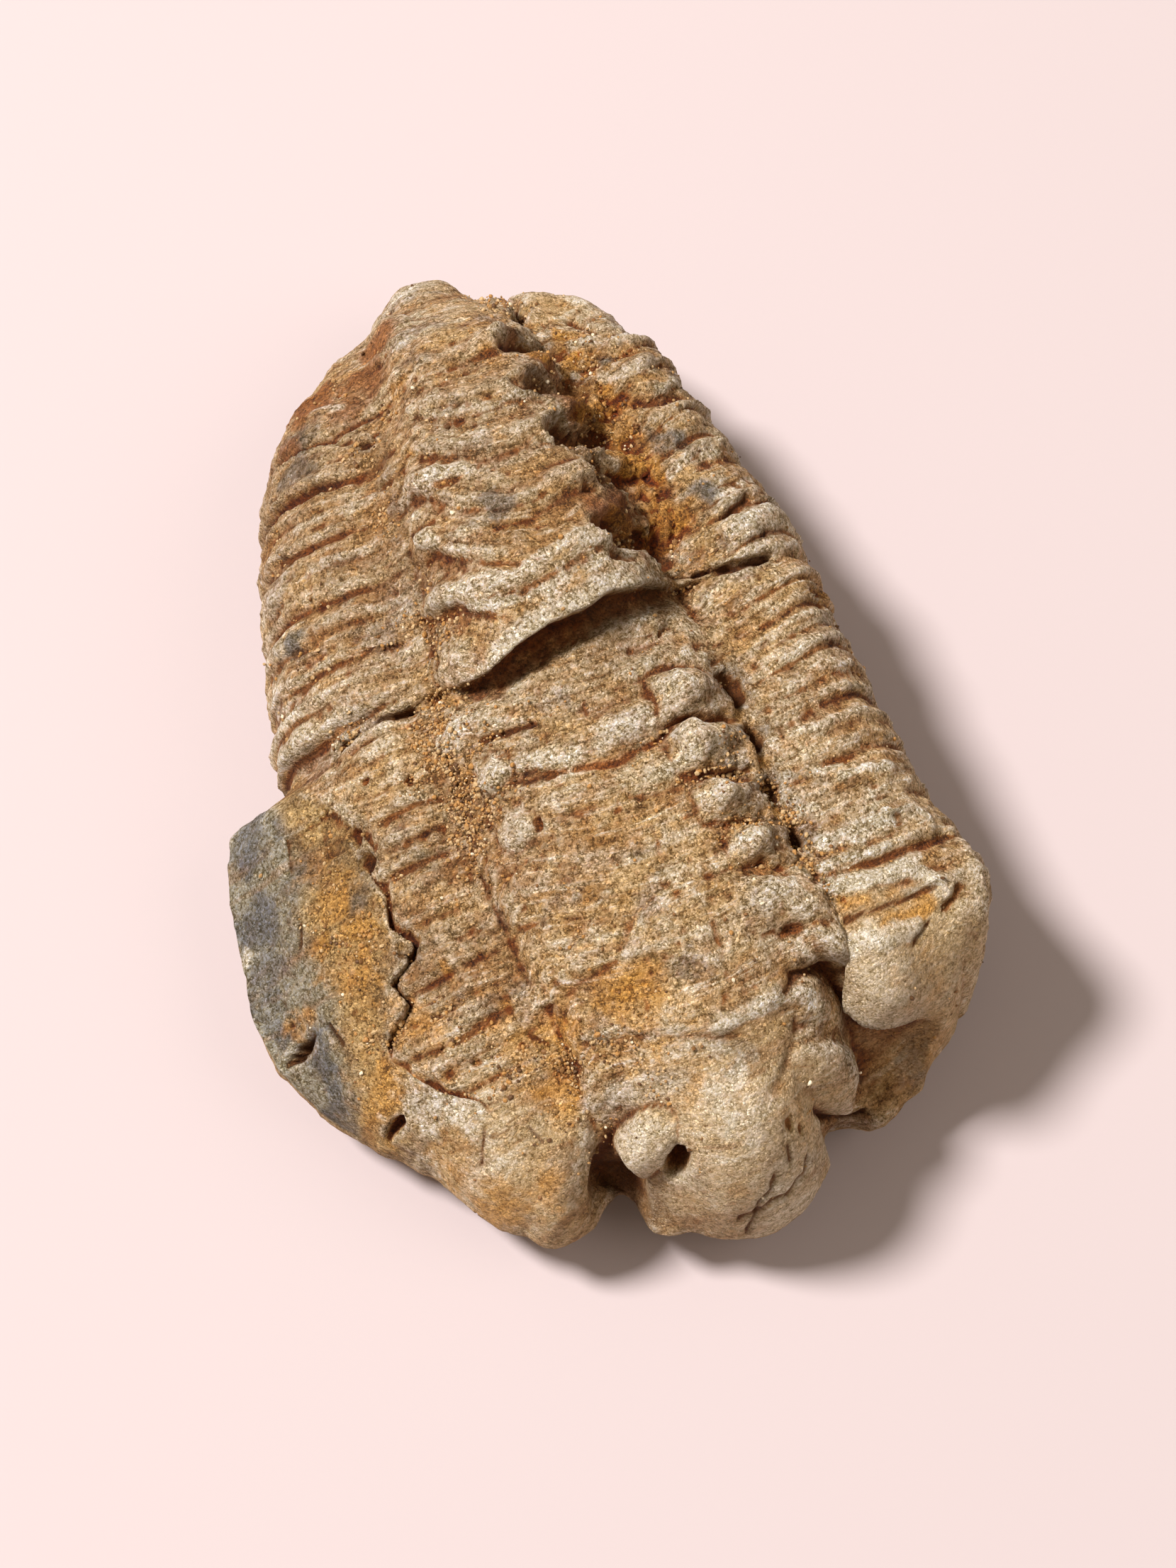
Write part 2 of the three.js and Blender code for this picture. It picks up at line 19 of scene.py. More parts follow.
import bpy
import numpy as np
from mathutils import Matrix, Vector


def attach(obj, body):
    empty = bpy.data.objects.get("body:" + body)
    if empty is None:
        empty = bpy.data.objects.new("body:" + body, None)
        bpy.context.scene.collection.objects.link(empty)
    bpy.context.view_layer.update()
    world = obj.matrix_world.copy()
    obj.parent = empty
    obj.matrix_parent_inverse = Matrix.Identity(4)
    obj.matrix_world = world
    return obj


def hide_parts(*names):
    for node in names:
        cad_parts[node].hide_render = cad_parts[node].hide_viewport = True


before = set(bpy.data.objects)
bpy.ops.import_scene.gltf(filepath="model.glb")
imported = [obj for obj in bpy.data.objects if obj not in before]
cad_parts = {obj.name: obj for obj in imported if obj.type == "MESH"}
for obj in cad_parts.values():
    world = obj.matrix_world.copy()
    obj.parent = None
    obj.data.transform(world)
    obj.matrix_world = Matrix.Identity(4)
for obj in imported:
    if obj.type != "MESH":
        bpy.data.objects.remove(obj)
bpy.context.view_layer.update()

# %% [markdown]
# ## Tools for shaping with arrays
#
# Every shape below is a height that depends on a place. `smooth` is the workhorse: it rises from 0 to 1
# between two values without a corner. `read` looks a value up in a small table of measurements, and its
# `ease` rounds off the table's corners, so that a dozen rows give a smooth curve.

# %% Shaping tools
MM = 0.001


def clamp(value, low=0.0, high=1.0):
    return np.clip(value, low, high)


def mix(a, b, share):
    return a + (b - a) * share


def smooth(start, end, value):
    share = clamp((value - start) / (end - start))
    return share * share * (3 - 2 * share)


def fade(start, end, value):
    """The opposite of smooth: falls from 1 to 0."""
    return 1 - smooth(start, end, value)


def read(rows, at, key, column, ease=0.0):
    """Looks up `column` where the column `key` equals `at`, and averages over `ease` to each side."""
    rows = np.array(rows, float)
    rows = rows[np.argsort(rows[:, key])]
    shifts = np.linspace(-ease, ease, 5) if ease else [0.0]
    return sum(np.interp(at + shift, rows[:, key], rows[:, column]) for shift in shifts) / len(shifts)


# %% [markdown]
# ## Noise
#
# Weathered stone is never even, so every layer is disturbed a little. Blender's own noise functions take
# one point per call, which is slow for eighty thousand points. A lattice of random numbers, read with
# smooth steps between its corners, does the same job for all points at once. The seed is fixed, so that
# each run gives the same stone.

# %% Noise on a random lattice
LATTICE_SIZE = 48
LATTICE = np.random.default_rng(11).uniform(-1, 1, (LATTICE_SIZE,) * 3)


def noise(points, size, layer=0):
    """Random values from -1 to 1, in soft lumps about `size` mm across. Each layer differs."""
    places = points / size + 7.3 * layer + 101.7
    corner = np.floor(places).astype(int)
    share = places - corner
    share = share * share * (3 - 2 * share)
    total = 0.0
    for step in np.ndindex(2, 2, 2):
        weight = np.prod(np.where(step, share, 1 - share), axis=-1)
        x, y, z = np.moveaxis((corner + step) % LATTICE_SIZE, -1, 0)
        total = total + weight * LATTICE[x, y, z]
    return total


def facets(u, v, layer):
    """Broken stone: flat tilted faces about one unit across, each at its own height, about -1 to 1."""
    nearest = np.full(u.shape, 1e9)
    height = np.zeros(u.shape)
    for step_u, step_v in np.ndindex(3, 3):
        cell_u, cell_v = np.floor(u) + step_u - 1, np.floor(v) + step_v - 1
        values = LATTICE[cell_u.astype(int) % LATTICE_SIZE, cell_v.astype(int) % LATTICE_SIZE]
        shift_u, shift_v, own, tilt_u, tilt_v = (values[..., 5 * layer + i] for i in range(5))
        away_u, away_v = u - cell_u - 0.5 - 0.45 * shift_u, v - cell_v - 0.5 - 0.45 * shift_v
        gap = away_u**2 + away_v**2
        height = np.where(gap < nearest, 0.6 * own + 0.8 * (tilt_u * away_u + tilt_v * away_v), height)
        nearest = np.minimum(gap, nearest)
    return height


def rough(points, size, octaves, layer=0):
    """Several noises in one, each half as large and half as strong as the one before."""
    return sum(noise(points, size / 2**i, layer + i) / 2**i for i in range(octaves))


# %% [markdown]
# ## The plan: where the segments run
#
# A trilobite's body is a row of segments. They cross the axis squarely, and beside it they lean towards the
# tail, more on one flank than on the other because the animal was twisted when it was buried. So each
# point gets a *level*: the place where its segment crosses the axis. The grid's rows follow the levels and
# its columns run from head to tail. The ribs then lie along the grid, which keeps them crisp.
#
# The frame of this plan is the fossil's own: x = 0 on its midline, y = 0 at the ledge where its rear half
# was pushed up over the front half.

# %% Segments and their lean
FRONT_PITCH = 3.13  # one segment ahead of the ledge
REAR_PITCH = 3.9  # one segment behind it
FIRST_REAR_CREST = 2.6
HEAD_LINE = -20.4  # here the segments end and the head begins
FAN_START = 8.0  # distance from the midline where the lean begins
LEAN = {"minus": (0.12, 0.01), "plus": (0.34, 0.0085)}  # at y = 0, and its growth per mm


def fan(x):
    lean, growth = (np.where(x < 0, LEAN["minus"][i], LEAN["plus"][i]) for i in (0, 1))
    return lean, growth, np.maximum(0, np.abs(x) - FAN_START)


def level_at(x, y):
    lean, growth, beyond = fan(x)
    return (y - lean * beyond) / (1 + growth * beyond)


def y_at_level(x, level):
    lean, growth, beyond = fan(x)
    return level + (lean + growth * level) * beyond


def segment_at(level):
    """Counts the segments from the ledge. Whole numbers are the middles of segments."""
    pitch = np.where(level < FIRST_REAR_CREST, FRONT_PITCH, REAR_PITCH)
    return (level - FIRST_REAR_CREST) / pitch


# %% [markdown]
# ## The outline
#
# The stone's edge is given by four short lists of points, in millimetres: one for each flank, from head to
# tail, and one for each end. `plan` turns a place on the grid, from 0 to 1 both ways, into a place inside
# that outline. Near the ends the rows bend to the shape of the head and of the tail.

# %% The outline and the plan
MINUS_X_EDGE = [
    (-13.2, -25.7), (-15.7, -22.8), (-18.1, -20.6), (-20.5, -17.8), (-22.2, -14.8), (-22.8, -11.3),
    (-22.5, -7.6), (-22.1, -4.2), (-21.5, -1.4), (-20.9, 0.0), (-18.4, 0.6), (-16.5, 1.2), (-16.6, 4.0),
    (-16.2, 7.0), (-15.5, 10.5), (-14.8, 13.6), (-13.9, 16.8), (-12.8, 20.2), (-10.8, 24.0),
]
PLUS_X_EDGE = [
    (16.4, -24.3), (17.4, -22.9), (18.8, -20.8), (21.1, -17.4), (20.5, -14.9), (19.4, -12.2),
    (18.9, -8.8), (18.5, -5.4), (18.2, -2.5), (17.9, 0.0), (17.4, 4.0), (16.9, 7.6), (16.1, 11.2),
    (15.2, 15.0), (14.1, 18.4), (12.9, 21.6), (11.5, 24.9),
]
HEAD_END = [
    (-13.2, -25.7), (-11.8, -27.7), (-10.0, -28.9), (-6.6, -29.5), (-4.6, -30.3), (-3.2, -31.1),
    (-1.9, -30.9), (0.2, -32.0), (2.4, -32.3), (4.7, -31.5), (6.8, -29.9), (8.2, -28.6),
    (10.8, -28.9), (14.0, -27.9), (15.0, -26.3), (16.4, -24.3),
]
TAIL_END = [
    (-10.8, 24.0), (-8.6, 26.3), (-6.1, 28.5), (-3.0, 29.8), (-2.4, 30.9), (-0.3, 31.6),
    (1.9, 31.4), (3.8, 29.6), (6.3, 28.3), (9.0, 26.9), (11.5, 24.9),
]
END_REACH = 0.3  # share of the length over which rows bend to an end
CORNER_EASE = 0.35  # rounds the corners of the lists


def with_level(points):
    points = np.array(points)
    return np.column_stack([points, level_at(points[:, 0], points[:, 1])])


minus_edge, plus_edge, head_end, tail_end = map(
    with_level, (MINUS_X_EDGE, PLUS_X_EDGE, HEAD_END, TAIL_END)
)
FIRST_LEVEL = max(minus_edge[0, 2], plus_edge[0, 2])
LAST_LEVEL = min(minus_edge[-1, 2], plus_edge[-1, 2])

# the ledge: x, y of its lip, and its height there as a share of the full height
LEDGE = [
    (-16.5, 0.9, 0.0), (-13.2, 1.1, 0.02), (-7.8, 1.1, 0.04), (-6.4, 0.7, 0.08), (-5.6, 0.3, 0.3),
    (-4.9, 0.1, 0.6), (-3.7, 0.1, 0.85), (-2.4, 0.4, 1.0), (-1.0, 0.75, 1.0), (1.8, 1.5, 1.0),
    (2.8, 1.7, 1.0), (5.4, 2.3, 0.9), (7.0, 2.9, 0.6), (8.6, 3.4, 0.3), (14.6, 3.7, 0.12),
    (20, 4.6, 0.05),
]
LEDGE_LEVEL = 0.4  # the level whose row follows the lip


def lip_at(x, ease=0.0):
    """The y of the ledge's lip, with small irregular steps."""
    along_x = np.stack([x, np.zeros_like(x), np.zeros_like(x)], -1)
    return read(LEDGE, x, 0, 1, ease) + 0.22 * noise(along_x, 1.9, 41) + 0.1 * noise(along_x, 0.8, 42)


def end_weight(share):
    return clamp(1 - share / END_REACH) ** 2


def ledge_pull(x, level, across):
    """Moves the rows near the ledge onto its lip, and leaves the rim where it is."""
    near = fade(0, 4, np.abs(level - LEDGE_LEVEL))
    inside_rim = 1 - (2 * across - 1) ** 8
    return (lip_at(x) - y_at_level(x, LEDGE_LEVEL)) * near * inside_rim


def plan(across, along):
    level = mix(FIRST_LEVEL, LAST_LEVEL, along)
    edges = [read(edge, level, 2, 0, CORNER_EASE) for edge in (minus_edge, plus_edge)]
    x = mix(edges[0], edges[1], across)
    head_x = mix(minus_edge[0, 0], plus_edge[0, 0], across)
    tail_x = mix(minus_edge[-1, 0], plus_edge[-1, 0], across)
    head_pull = read(head_end, head_x, 0, 2, CORNER_EASE) - FIRST_LEVEL
    tail_pull = read(tail_end, tail_x, 0, 2, CORNER_EASE) - LAST_LEVEL
    level = level + end_weight(along) * head_pull + end_weight(1 - along) * tail_pull
    return x, y_at_level(x, level) + ledge_pull(x, level, across)


# %% [markdown]
# ## The smooth body
#
# The first layer of height is the animal without its relief. A raised axis runs between two furrows, with a
# flatter flank on each side. Sixteen measured stations from tail to head give the places of the furrows and
# five heights each. A *shoulder* then brings the whole body down to the rim of the stone.

# %% Stations, crown and shoulder
# y; x of the two furrows; heights of the axis, of the -x and +x furrows, of the -x and +x flanks
STATIONS = [
    (33, -2.0, 4.2, 8.5, 7.0, 7.0, 6.0, 7.0),
    (28, -1.8, 5.0, 13.8, 12.4, 12.0, 10.4, 11.8),
    (24, -1.7, 5.8, 17.0, 15.4, 13.6, 13.0, 13.6),
    (18.5, -2.6, 6.4, 19.2, 17.4, 14.6, 15.4, 15.2),
    (13.5, -5.5, 7.0, 20.0, 17.6, 14.8, 16.4, 15.9),
    (9, -5.8, 7.4, 20.2, 17.6, 14.8, 16.7, 16.4),
    (4, -6.5, 8.0, 20.2, 17.0, 14.8, 16.6, 16.7),
    (-1, -7.3, 8.8, 20.0, 15.9, 17.0, 16.3, 17.3),
    (-10, -8.0, 9.0, 20.0, 15.2, 17.1, 15.5, 17.6),
    (-16, -7.3, 9.6, 19.8, 14.8, 16.9, 14.8, 17.5),
    (-20, -6.4, 9.9, 19.3, 14.2, 15.9, 14.0, 17.1),
    (-22, -6.1, 9.3, 18.9, 12.9, 13.0, 13.8, 16.2),
    (-24, -5.8, 10.2, 18.4, 11.6, 10.2, 13.6, 15.0),
    (-28, -5.4, 9.0, 17.2, 8.4, 7.6, 12.6, 10.6),
    (-31, -3.2, 7.2, 14.5, 6.2, 6.0, 8.0, 7.0),
    (-34, -2.0, 6.0, 10.0, 5.0, 5.0, 5.0, 5.0),
]
STATION_EASE = 1.2
# from a furrow to the full height of its flank: the -x one, and the +x one ahead of and behind the ledge
FLANK_RISE = {"minus": 3.4, "plus front": 2.6, "plus rear": 5.2}
BOWL_RISE = 5.5  # the same under the +x cheek
FURROW_FILL = {"minus": 0.6, "plus front": 0.7, "plus rear": 0.35}  # rounds the bottom of each furrow
FURROW_SOFTNESS = 1.35
FLANK_FALL = {"free": 0.1, "to plate": 0.62}  # the slope beyond that
AXIS_ROUNDNESS = 2.6
REAR_RISE_SPAN = (1, 5)  # from one y to another: here the +x flank changes to its form behind the ledge
REAR_FILL_SPAN = (-0.5, 3)
BOWL_SPAN = (-22.5, -25.0)  # here the bowl begins, and before it the furrow's fill ends
FILL_END_SPAN = (-22.5, -20.5)
# how square the shoulder is on each side and at the ends, and how steeply it falls
SIDE_SQUARENESS = {"minus": 5, "plus front": 14, "plus rear": 10}
END_SQUARENESS = 12
SHOULDER_POWER = 0.58
RIM_HEIGHT = {"free": 5.0, "plate": 6.6}
PLATE_SPAN = (-19.0, 1.0)  # from here to there in y


def station(y, column):
    return read(STATIONS, y, 0, column, STATION_EASE)


def beside_plate(x, y):
    start, end = PLATE_SPAN
    return np.where(x < 0, smooth(start, start + 4, y) * fade(end, end + 2, y), 0)


def crown(x, y):
    furrow_minus, furrow_plus = station(y, 1), station(y, 2)
    middle = (furrow_minus + furrow_plus) / 2
    plus = x > middle
    furrow = np.where(plus, furrow_plus, furrow_minus)
    floor = np.where(plus, station(y, 5), station(y, 4))
    flank = np.where(plus, station(y, 7), station(y, 6))
    from_middle = (x - middle) / (furrow - middle)
    arch = mix(station(y, 3), floor, clamp(from_middle) ** AXIS_ROUNDNESS)
    beyond = np.abs(x - furrow)
    fall = mix(FLANK_FALL["free"], FLANK_FALL["to plate"], beside_plate(x, y))
    plus_rise = mix(FLANK_RISE["plus front"], FLANK_RISE["plus rear"], smooth(*REAR_RISE_SPAN, y))
    plus_rise = mix(plus_rise, BOWL_RISE, smooth(*BOWL_SPAN, y))
    rise = np.where(plus, plus_rise, FLANK_RISE["minus"])
    plus_fill = mix(FURROW_FILL["plus front"], FURROW_FILL["plus rear"], smooth(*REAR_FILL_SPAN, y))
    plus_fill = plus_fill * smooth(*FILL_END_SPAN, y)
    fill = np.where(plus, plus_fill, FURROW_FILL["minus"]) * np.exp(-((beyond / FURROW_SOFTNESS) ** 2))
    side = mix(floor, flank, smooth(0, rise, beyond)) - fall * np.maximum(0, beyond - rise)
    return np.where(from_middle < 1, arch, side) + fill


def shoulder(across, along):
    side, end = np.abs(2 * across - 1), np.abs(2 * along - 1)
    plus = mix(SIDE_SQUARENESS["plus front"], SIDE_SQUARENESS["plus rear"], smooth(0.45, 0.75, along))
    squareness = np.where(across < 0.5, SIDE_SQUARENESS["minus"], plus)
    return (1 - side**squareness) ** SHOULDER_POWER * (1 - end**END_SQUARENESS) ** SHOULDER_POWER


def rim_height(x, y):
    return mix(RIM_HEIGHT["free"], RIM_HEIGHT["plate"], beside_plate(x, y))


# %% [markdown]
# ## The ledge and the slab
#
# Two breaks give this stone its character. Across the middle the rear half was pushed up over the front
# half, which left a **ledge** with a dark slit under it. And along one side a **slab** of the covering rock
# remains, with a jagged inner edge where it broke away from the ribs.
#
# The slab is another height, used in place of the body beyond that edge. The ledge is a step. A height can
# only go up and down, so `overhang` afterwards slides the lip forward and the foot of the step back under
# it. That is the advantage of a grid mesh over a height map: its points can also move sideways.

# %% Ledge, slab and overhang
LEDGE_HEIGHT = 2.7
LEDGE_WIDTH = 0.35
LEDGE_FADE = 21  # behind the lip the lift fades out over this length
SLIT_DEPTH = 0.8
OVERHANG = 0.3

PLATE_EDGE = [
    (-16.0, -0.8), (-14.7, -2.7), (-13.8, -4.3), (-13.3, -5.9), (-14.1, -6.8), (-13.5, -8.8),
    (-13.8, -10.6), (-12.7, -12.2), (-13.3, -13.0), (-14.8, -13.7), (-14.1, -15.3), (-15.9, -16.8),
    (-16.0, -17.8), (-15.0, -19.2), (-13.8, -20.6), (-12.0, -21.9), (-10.8, -23.8),
]
PLATE_HEIGHT = 14.3  # at x = PLATE_START
PLATE_START = -13
PLATE_FALL = 0.42
PLATE_BREAK, BREAK_FALL = -18.8, 0.75  # beyond this x its face is broken down
PLATE_STEP = 0.3
PLATE_THINNING = 3.4  # towards the head it thins out over this length
PLATE_CHIPS = [(2.6, 0.24, 4), (1.3, 0.12, 3)]  # size, height, layer of the random numbers
CRACK_DEPTH = [  # y, depth of the crack along that edge
    (-2.5, 0), (-4, 0.2), (-4.8, 0.9), (-7, 1.0), (-9, 0.6), (-10.6, 1.1), (-12.4, 1.5), (-13.2, 1.2),
    (-14, 0.6), (-15.4, 1.1), (-16.4, 0.7), (-17.2, 0.25), (-18.5, 0.6), (-20.2, 0.8), (-21.4, 0.4),
    (-22.4, 0.0),
]
CRACK_HALF_WIDTH = 0.2


def behind_ledge(x, y):
    return y - lip_at(x, 0.5)


def ledge_share(x):
    return read(LEDGE, x, 0, 2, 0.8)


def ledge_lift(x, y):
    behind = behind_ledge(x, y)
    step = smooth(-LEDGE_WIDTH / 2, LEDGE_WIDTH / 2, behind)
    return LEDGE_HEIGHT * ledge_share(x) * step * fade(2, LEDGE_FADE, behind)


def ledge_slit(x, y):
    before = -behind_ledge(x, y)
    along_axis = smooth(-13, -3, x) * fade(6.5, 8.5, x)
    return -SLIT_DEPTH * along_axis * smooth(-0.2, 0.25, before) * fade(0.4, 1.5, before)


def overhang(x, y):
    """How far a point slides in y: the lip towards the head, the foot of the step the other way."""
    behind = behind_ledge(x, y)
    turn = smooth(-LEDGE_WIDTH / 2, LEDGE_WIDTH / 2, behind) * 2 - 1
    near = np.where(turn > 0, fade(0.2, 2.6, behind), fade(0.2, 1.5, -behind))
    return -OVERHANG * turn * near * ledge_share(x)


def into_plate(x, y):
    """How far a point lies beyond the slab's inner edge. It is negative on the fossil."""
    inside = (y <= PLATE_SPAN[1]) & (y >= PLATE_EDGE[-1][1])
    return np.where(inside, read(PLATE_EDGE, y, 1, 0, 0.1) - x, -50.0)


def on_plate(x, y):
    thinning_out = smooth(PLATE_EDGE[-1][1], PLATE_EDGE[-1][1] + PLATE_THINNING, y)
    return smooth(-PLATE_STEP / 2, PLATE_STEP / 2, into_plate(x, y)) * thinning_out


def plate_top(points):
    x, y = points[..., 0], points[..., 1]
    slope = PLATE_HEIGHT - PLATE_FALL * (PLATE_START - x)
    broken = slope - BREAK_FALL * np.maximum(0, PLATE_BREAK - x)
    chipped = sum(rise * facets(x / size, y / size, layer) for size, rise, layer in PLATE_CHIPS)
    return broken + 0.4 * noise(points, 5.0, 31) + chipped


def edge_gap(x, y):
    """The crack along the slab's inner edge."""
    depth = read(CRACK_DEPTH, y, 0, 1)
    from_crack = np.abs(into_plate(x, y) + CRACK_HALF_WIDTH)
    return depth * clamp(1.4 - from_crack / (CRACK_HALF_WIDTH * (0.6 + 0.6 * depth)))


# %% [markdown]
# ## Ribs and rings
#
# Each segment is one **rib** on either flank and one **ring** on the axis. A real rib is double: two ridges
# with a thin furrow between them, and a deeper furrow to the next rib. The distance from the middle of the
# segment drives the profile. The rings work differently. They overlap like roof tiles, so each has a low
# step at its head side and slopes down gently towards the tail.

# %% Ribs and rings
# on each flank, ahead of the ledge and behind it: a broad swell, two narrow ridges, the furrow between two
# segments and the one along the middle of each, all in mm
RIB_RELIEF = {
    ("minus", "front"): (0.1, 0.2, 0.08, 0.02), ("minus", "rear"): (0.16, 0.13, 0.09, 0.0),
    ("plus", "front"): (0.08, 0.11, 0.04, 0.02), ("plus", "rear"): (0.12, 0.22, 0.07, 0.03),
}
STREAKS = {"wide": (6.0, 0.9, 0.11), "narrow": (3.2, 0.45, 0.07)}  # length, width, height
BROKEN = {"faces": (2.6, 1.5, 0.13), "chips": (1.3, 0.8, 0.06)}  # the same for its broken faces
RING_STEP = {"front": 0.22, "rear": 0.55}
RING_BOW = {"front": 0.035, "rear": 0.11}  # how far the rings bend towards the head at the midline
FIRST_FRONT_RING, FRONT_RING_PITCH = -3.2, 3.2  # the step of the first ring ahead of the ledge
RING_MIDDLE = 0.9  # x of the crown of the rings
HALVES_MEET = (-0.5, 1.5)  # levels between which the front form changes to the rear form
RIBS_FADE = (19, 24)  # levels between which the ribs end towards the tail
RINGS_START, RINGS_FADE = (-18.4, -17.4), (20.5, 25)  # the same in y for the rings
RUBBLE_WIDTH = 1.6  # in the rubble of the rear +x furrow there are no ribs


def outside_axis(x, y):
    """Distance outside the two furrows beside the axis. It is negative on the axis."""
    return np.maximum(station(y, 1) - x, x - station(y, 2))


def rib_relief(x, behind, column):
    front, rear = (
        np.where(x < 0, RIB_RELIEF["minus", half][column], RIB_RELIEF["plus", half][column])
        for half in ("front", "rear")
    )
    return mix(front, rear, behind)


def streak(x, level, length, width, layer):
    """Noise drawn out along the ribs."""
    return noise(np.stack([x / length, level / width, np.zeros_like(x)], -1), 1, 7 + layer)


def ribs(x, y, points):
    wander = 0.26 * noise(points, 5.0, 3) + 0.12 * noise(points, 1.7, 4)
    level = level_at(x, y) + wander
    segment = segment_at(level)
    side = segment - np.round(segment)  # from -0.5 to 0.5, towards the tail
    far = 2 * np.abs(side)
    behind = smooth(*HALVES_MEET, level)
    swell, ridge, between, middle = (rib_relief(x, behind, column) for column in range(4))
    strength = clamp(1 + 1.6 * streak(x, level, 5.0, 1.4, 1), 0.1, 2.2)
    phase = (2 * segment) % 1.0  # of one ridge: 0 at its steep side, growing towards the tail
    second = np.where(side > 0, 0.75, 1.0)
    profile = swell * (1 - 2 * far**2.5)
    slanting = smooth(0, 0.34, phase) * (1 - phase) ** 0.9
    blocky = smooth(0, 0.2, phase) * (1 - 0.55 * phase**2) * 0.6
    tooth = mix(slanting, np.where(x < 0, slanting, blocky), behind) - 0.36
    profile = profile + 2 * ridge * second * strength * tooth
    profile = profile - between * strength * np.exp(-(((1 - far) / 0.2) ** 2))
    profile = profile - middle * np.exp(-((far / 0.17) ** 2)) * (0.7 + 0.6 * noise(points, 4, 6))
    fine_half = mix(1, np.where(x < 0, 1.1, 0.45), behind)
    for layer, (length, width, height) in enumerate(STREAKS.values()):
        profile = profile + fine_half * height * (1 - 2.2 * np.abs(streak(x, level, length, width, layer)))
    rough_half = mix(0.6, np.where(x < 0, 0.6, 1.3), behind)
    for layer, (length, width, height) in enumerate(BROKEN.values()):
        profile = profile + rough_half * height * facets(x / length, level / width, layer)
    beyond = outside_axis(x, y) - np.where(x > 0, RUBBLE_WIDTH * behind, 0)
    on_flank = mix(0.25, 1, smooth(1.2, 4.5, beyond)) * smooth(0.2, 1.4, beyond)
    on_body = smooth(HEAD_LINE - 1.2, HEAD_LINE + 0.4, level) * fade(*RIBS_FADE, level)
    to_slab = 1 - 0.65 * smooth(-11.5, -13.5, x) * beside_plate(x, y)
    return on_flank * on_body * to_slab * profile


def ring_level(x, y):
    """The y where a point's ring crosses the crown of the axis."""
    return y - np.where(y > 0, RING_BOW["rear"], RING_BOW["front"]) * (x - RING_MIDDLE) ** 2


def rings(x, y, points):
    place = ring_level(x, y) + 0.3 * noise(points, 3.0, 8) + 0.12 * noise(points, 1.2, 9)
    front = (place - FIRST_FRONT_RING) / FRONT_RING_PITCH
    rear = (place - FIRST_REAR_CREST) / REAR_PITCH - 0.5
    phase = np.where(y > 0, rear, front) % 1.0  # 0 at the step, growing towards the tail
    tile = smooth(0, 0.2, phase) * (1 - phase) - 0.42
    step = np.where(y > 0, RING_STEP["rear"], RING_STEP["front"])
    on_axis = fade(-0.9, 0.3, outside_axis(x, y)) * smooth(1.2, 2.6, np.abs(behind_ledge(x, y)))
    on_body = smooth(*RINGS_START, y) * fade(*RINGS_FADE, y)
    tile = step * (1 + 0.6 * noise(points, 3.4, 10)) * tile + 0.08 * facets(x / 2.2, place / 1.1, 2)
    return on_axis * on_body * tile


def rim_scallops(across, x, y):
    """How far each rib's end stands out at the edge of the stone."""
    segment = segment_at(level_at(x, y))
    far = 2 * np.abs(segment - np.round(segment))
    size = mix(0.1, np.where(x < 0, 0.3, 0.25), smooth(0, 3, y)) * smooth(-17, -14, y) * fade(22, 25, y)
    free = 1 - beside_plate(x, y)
    return np.sign(x) * size * free * (0.5 - far**2.5) * smooth(0.78, 1.0, np.abs(2 * across - 1))


# %% [markdown]
# ## Knobs, pits and cracks
#
# The rest of the relief is a list of things that a collector would point at. A *lump* is an ellipse with a
# height, and its `power` says how round its top is: 2 is a soft swelling, 0.6 a bead with a crisp edge. A
# negative height makes a pit. A *stroke* follows a few points, as a crack, a crease or a terrace edge.

# %% Lumps and strokes
def lump(x, y, places, power):
    """The sum of elliptical lumps (x, y, half width, half length, height)."""
    total = np.zeros_like(x)
    for centre_x, centre_y, half_x, half_y, rise in places:
        far = ((x - centre_x) / half_x) ** 2 + ((y - centre_y) / half_y) ** 2
        total += rise * clamp(1 - far) ** power
    return total


def prow(x, y, tail, tip, half_width, rise, crest=0.25):
    """A blunt finger: a steep flat face at its tail, then a round back that sinks from `crest` to its tip."""
    flat = np.stack([x, y, np.zeros_like(x)], -1)
    x, y = x + 0.3 * noise(flat, 1.3, 33), y + 0.3 * noise(flat, 1.3, 34)
    run_x, run_y = tip[0] - tail[0], tip[1] - tail[1]
    length = math.hypot(run_x, run_y)
    forward = ((x - tail[0]) * run_x + (y - tail[1]) * run_y) / length
    sideways = ((x - tail[0]) * run_y - (y - tail[1]) * run_x) / length
    climb = forward / (crest * length)
    top = 1 - 0.7 * (forward / length - crest) / (1 - crest)
    drop = (length - forward) / 0.7
    flank = clamp(1 - (sideways / half_width) ** 2) ** 0.6
    return rise * clamp(np.minimum(np.minimum(climb, drop), top)) * flank


def from_line(x, y, line):
    """Distance to a line of points, and the signed distance to its left."""
    nearest = np.full(x.shape, 1e9)
    left = np.zeros(x.shape)
    for (ax, ay), (bx, by) in zip(line[:-1], line[1:]):
        run_x, run_y = bx - ax, by - ay
        length = math.hypot(run_x, run_y)
        share = clamp(((x - ax) * run_x + (y - ay) * run_y) / length**2)
        gap_x, gap_y = x - ax - share * run_x, y - ay - share * run_y
        gap = np.hypot(gap_x, gap_y)
        side = (run_x * gap_y - run_y * gap_x) / length
        closer = gap < nearest
        nearest = np.where(closer, gap, nearest)
        left = np.where(closer, side, left)
    return nearest, left


def groove(x, y, line, half_width, depth):
    nearest, _ = from_line(x, y, line)
    return -depth * np.exp(-((nearest / half_width) ** 2))


def crease(x, y, line, half_width, rise):
    nearest, _ = from_line(x, y, line)
    return rise * clamp(1 - (nearest / half_width) ** 2) ** 1.5


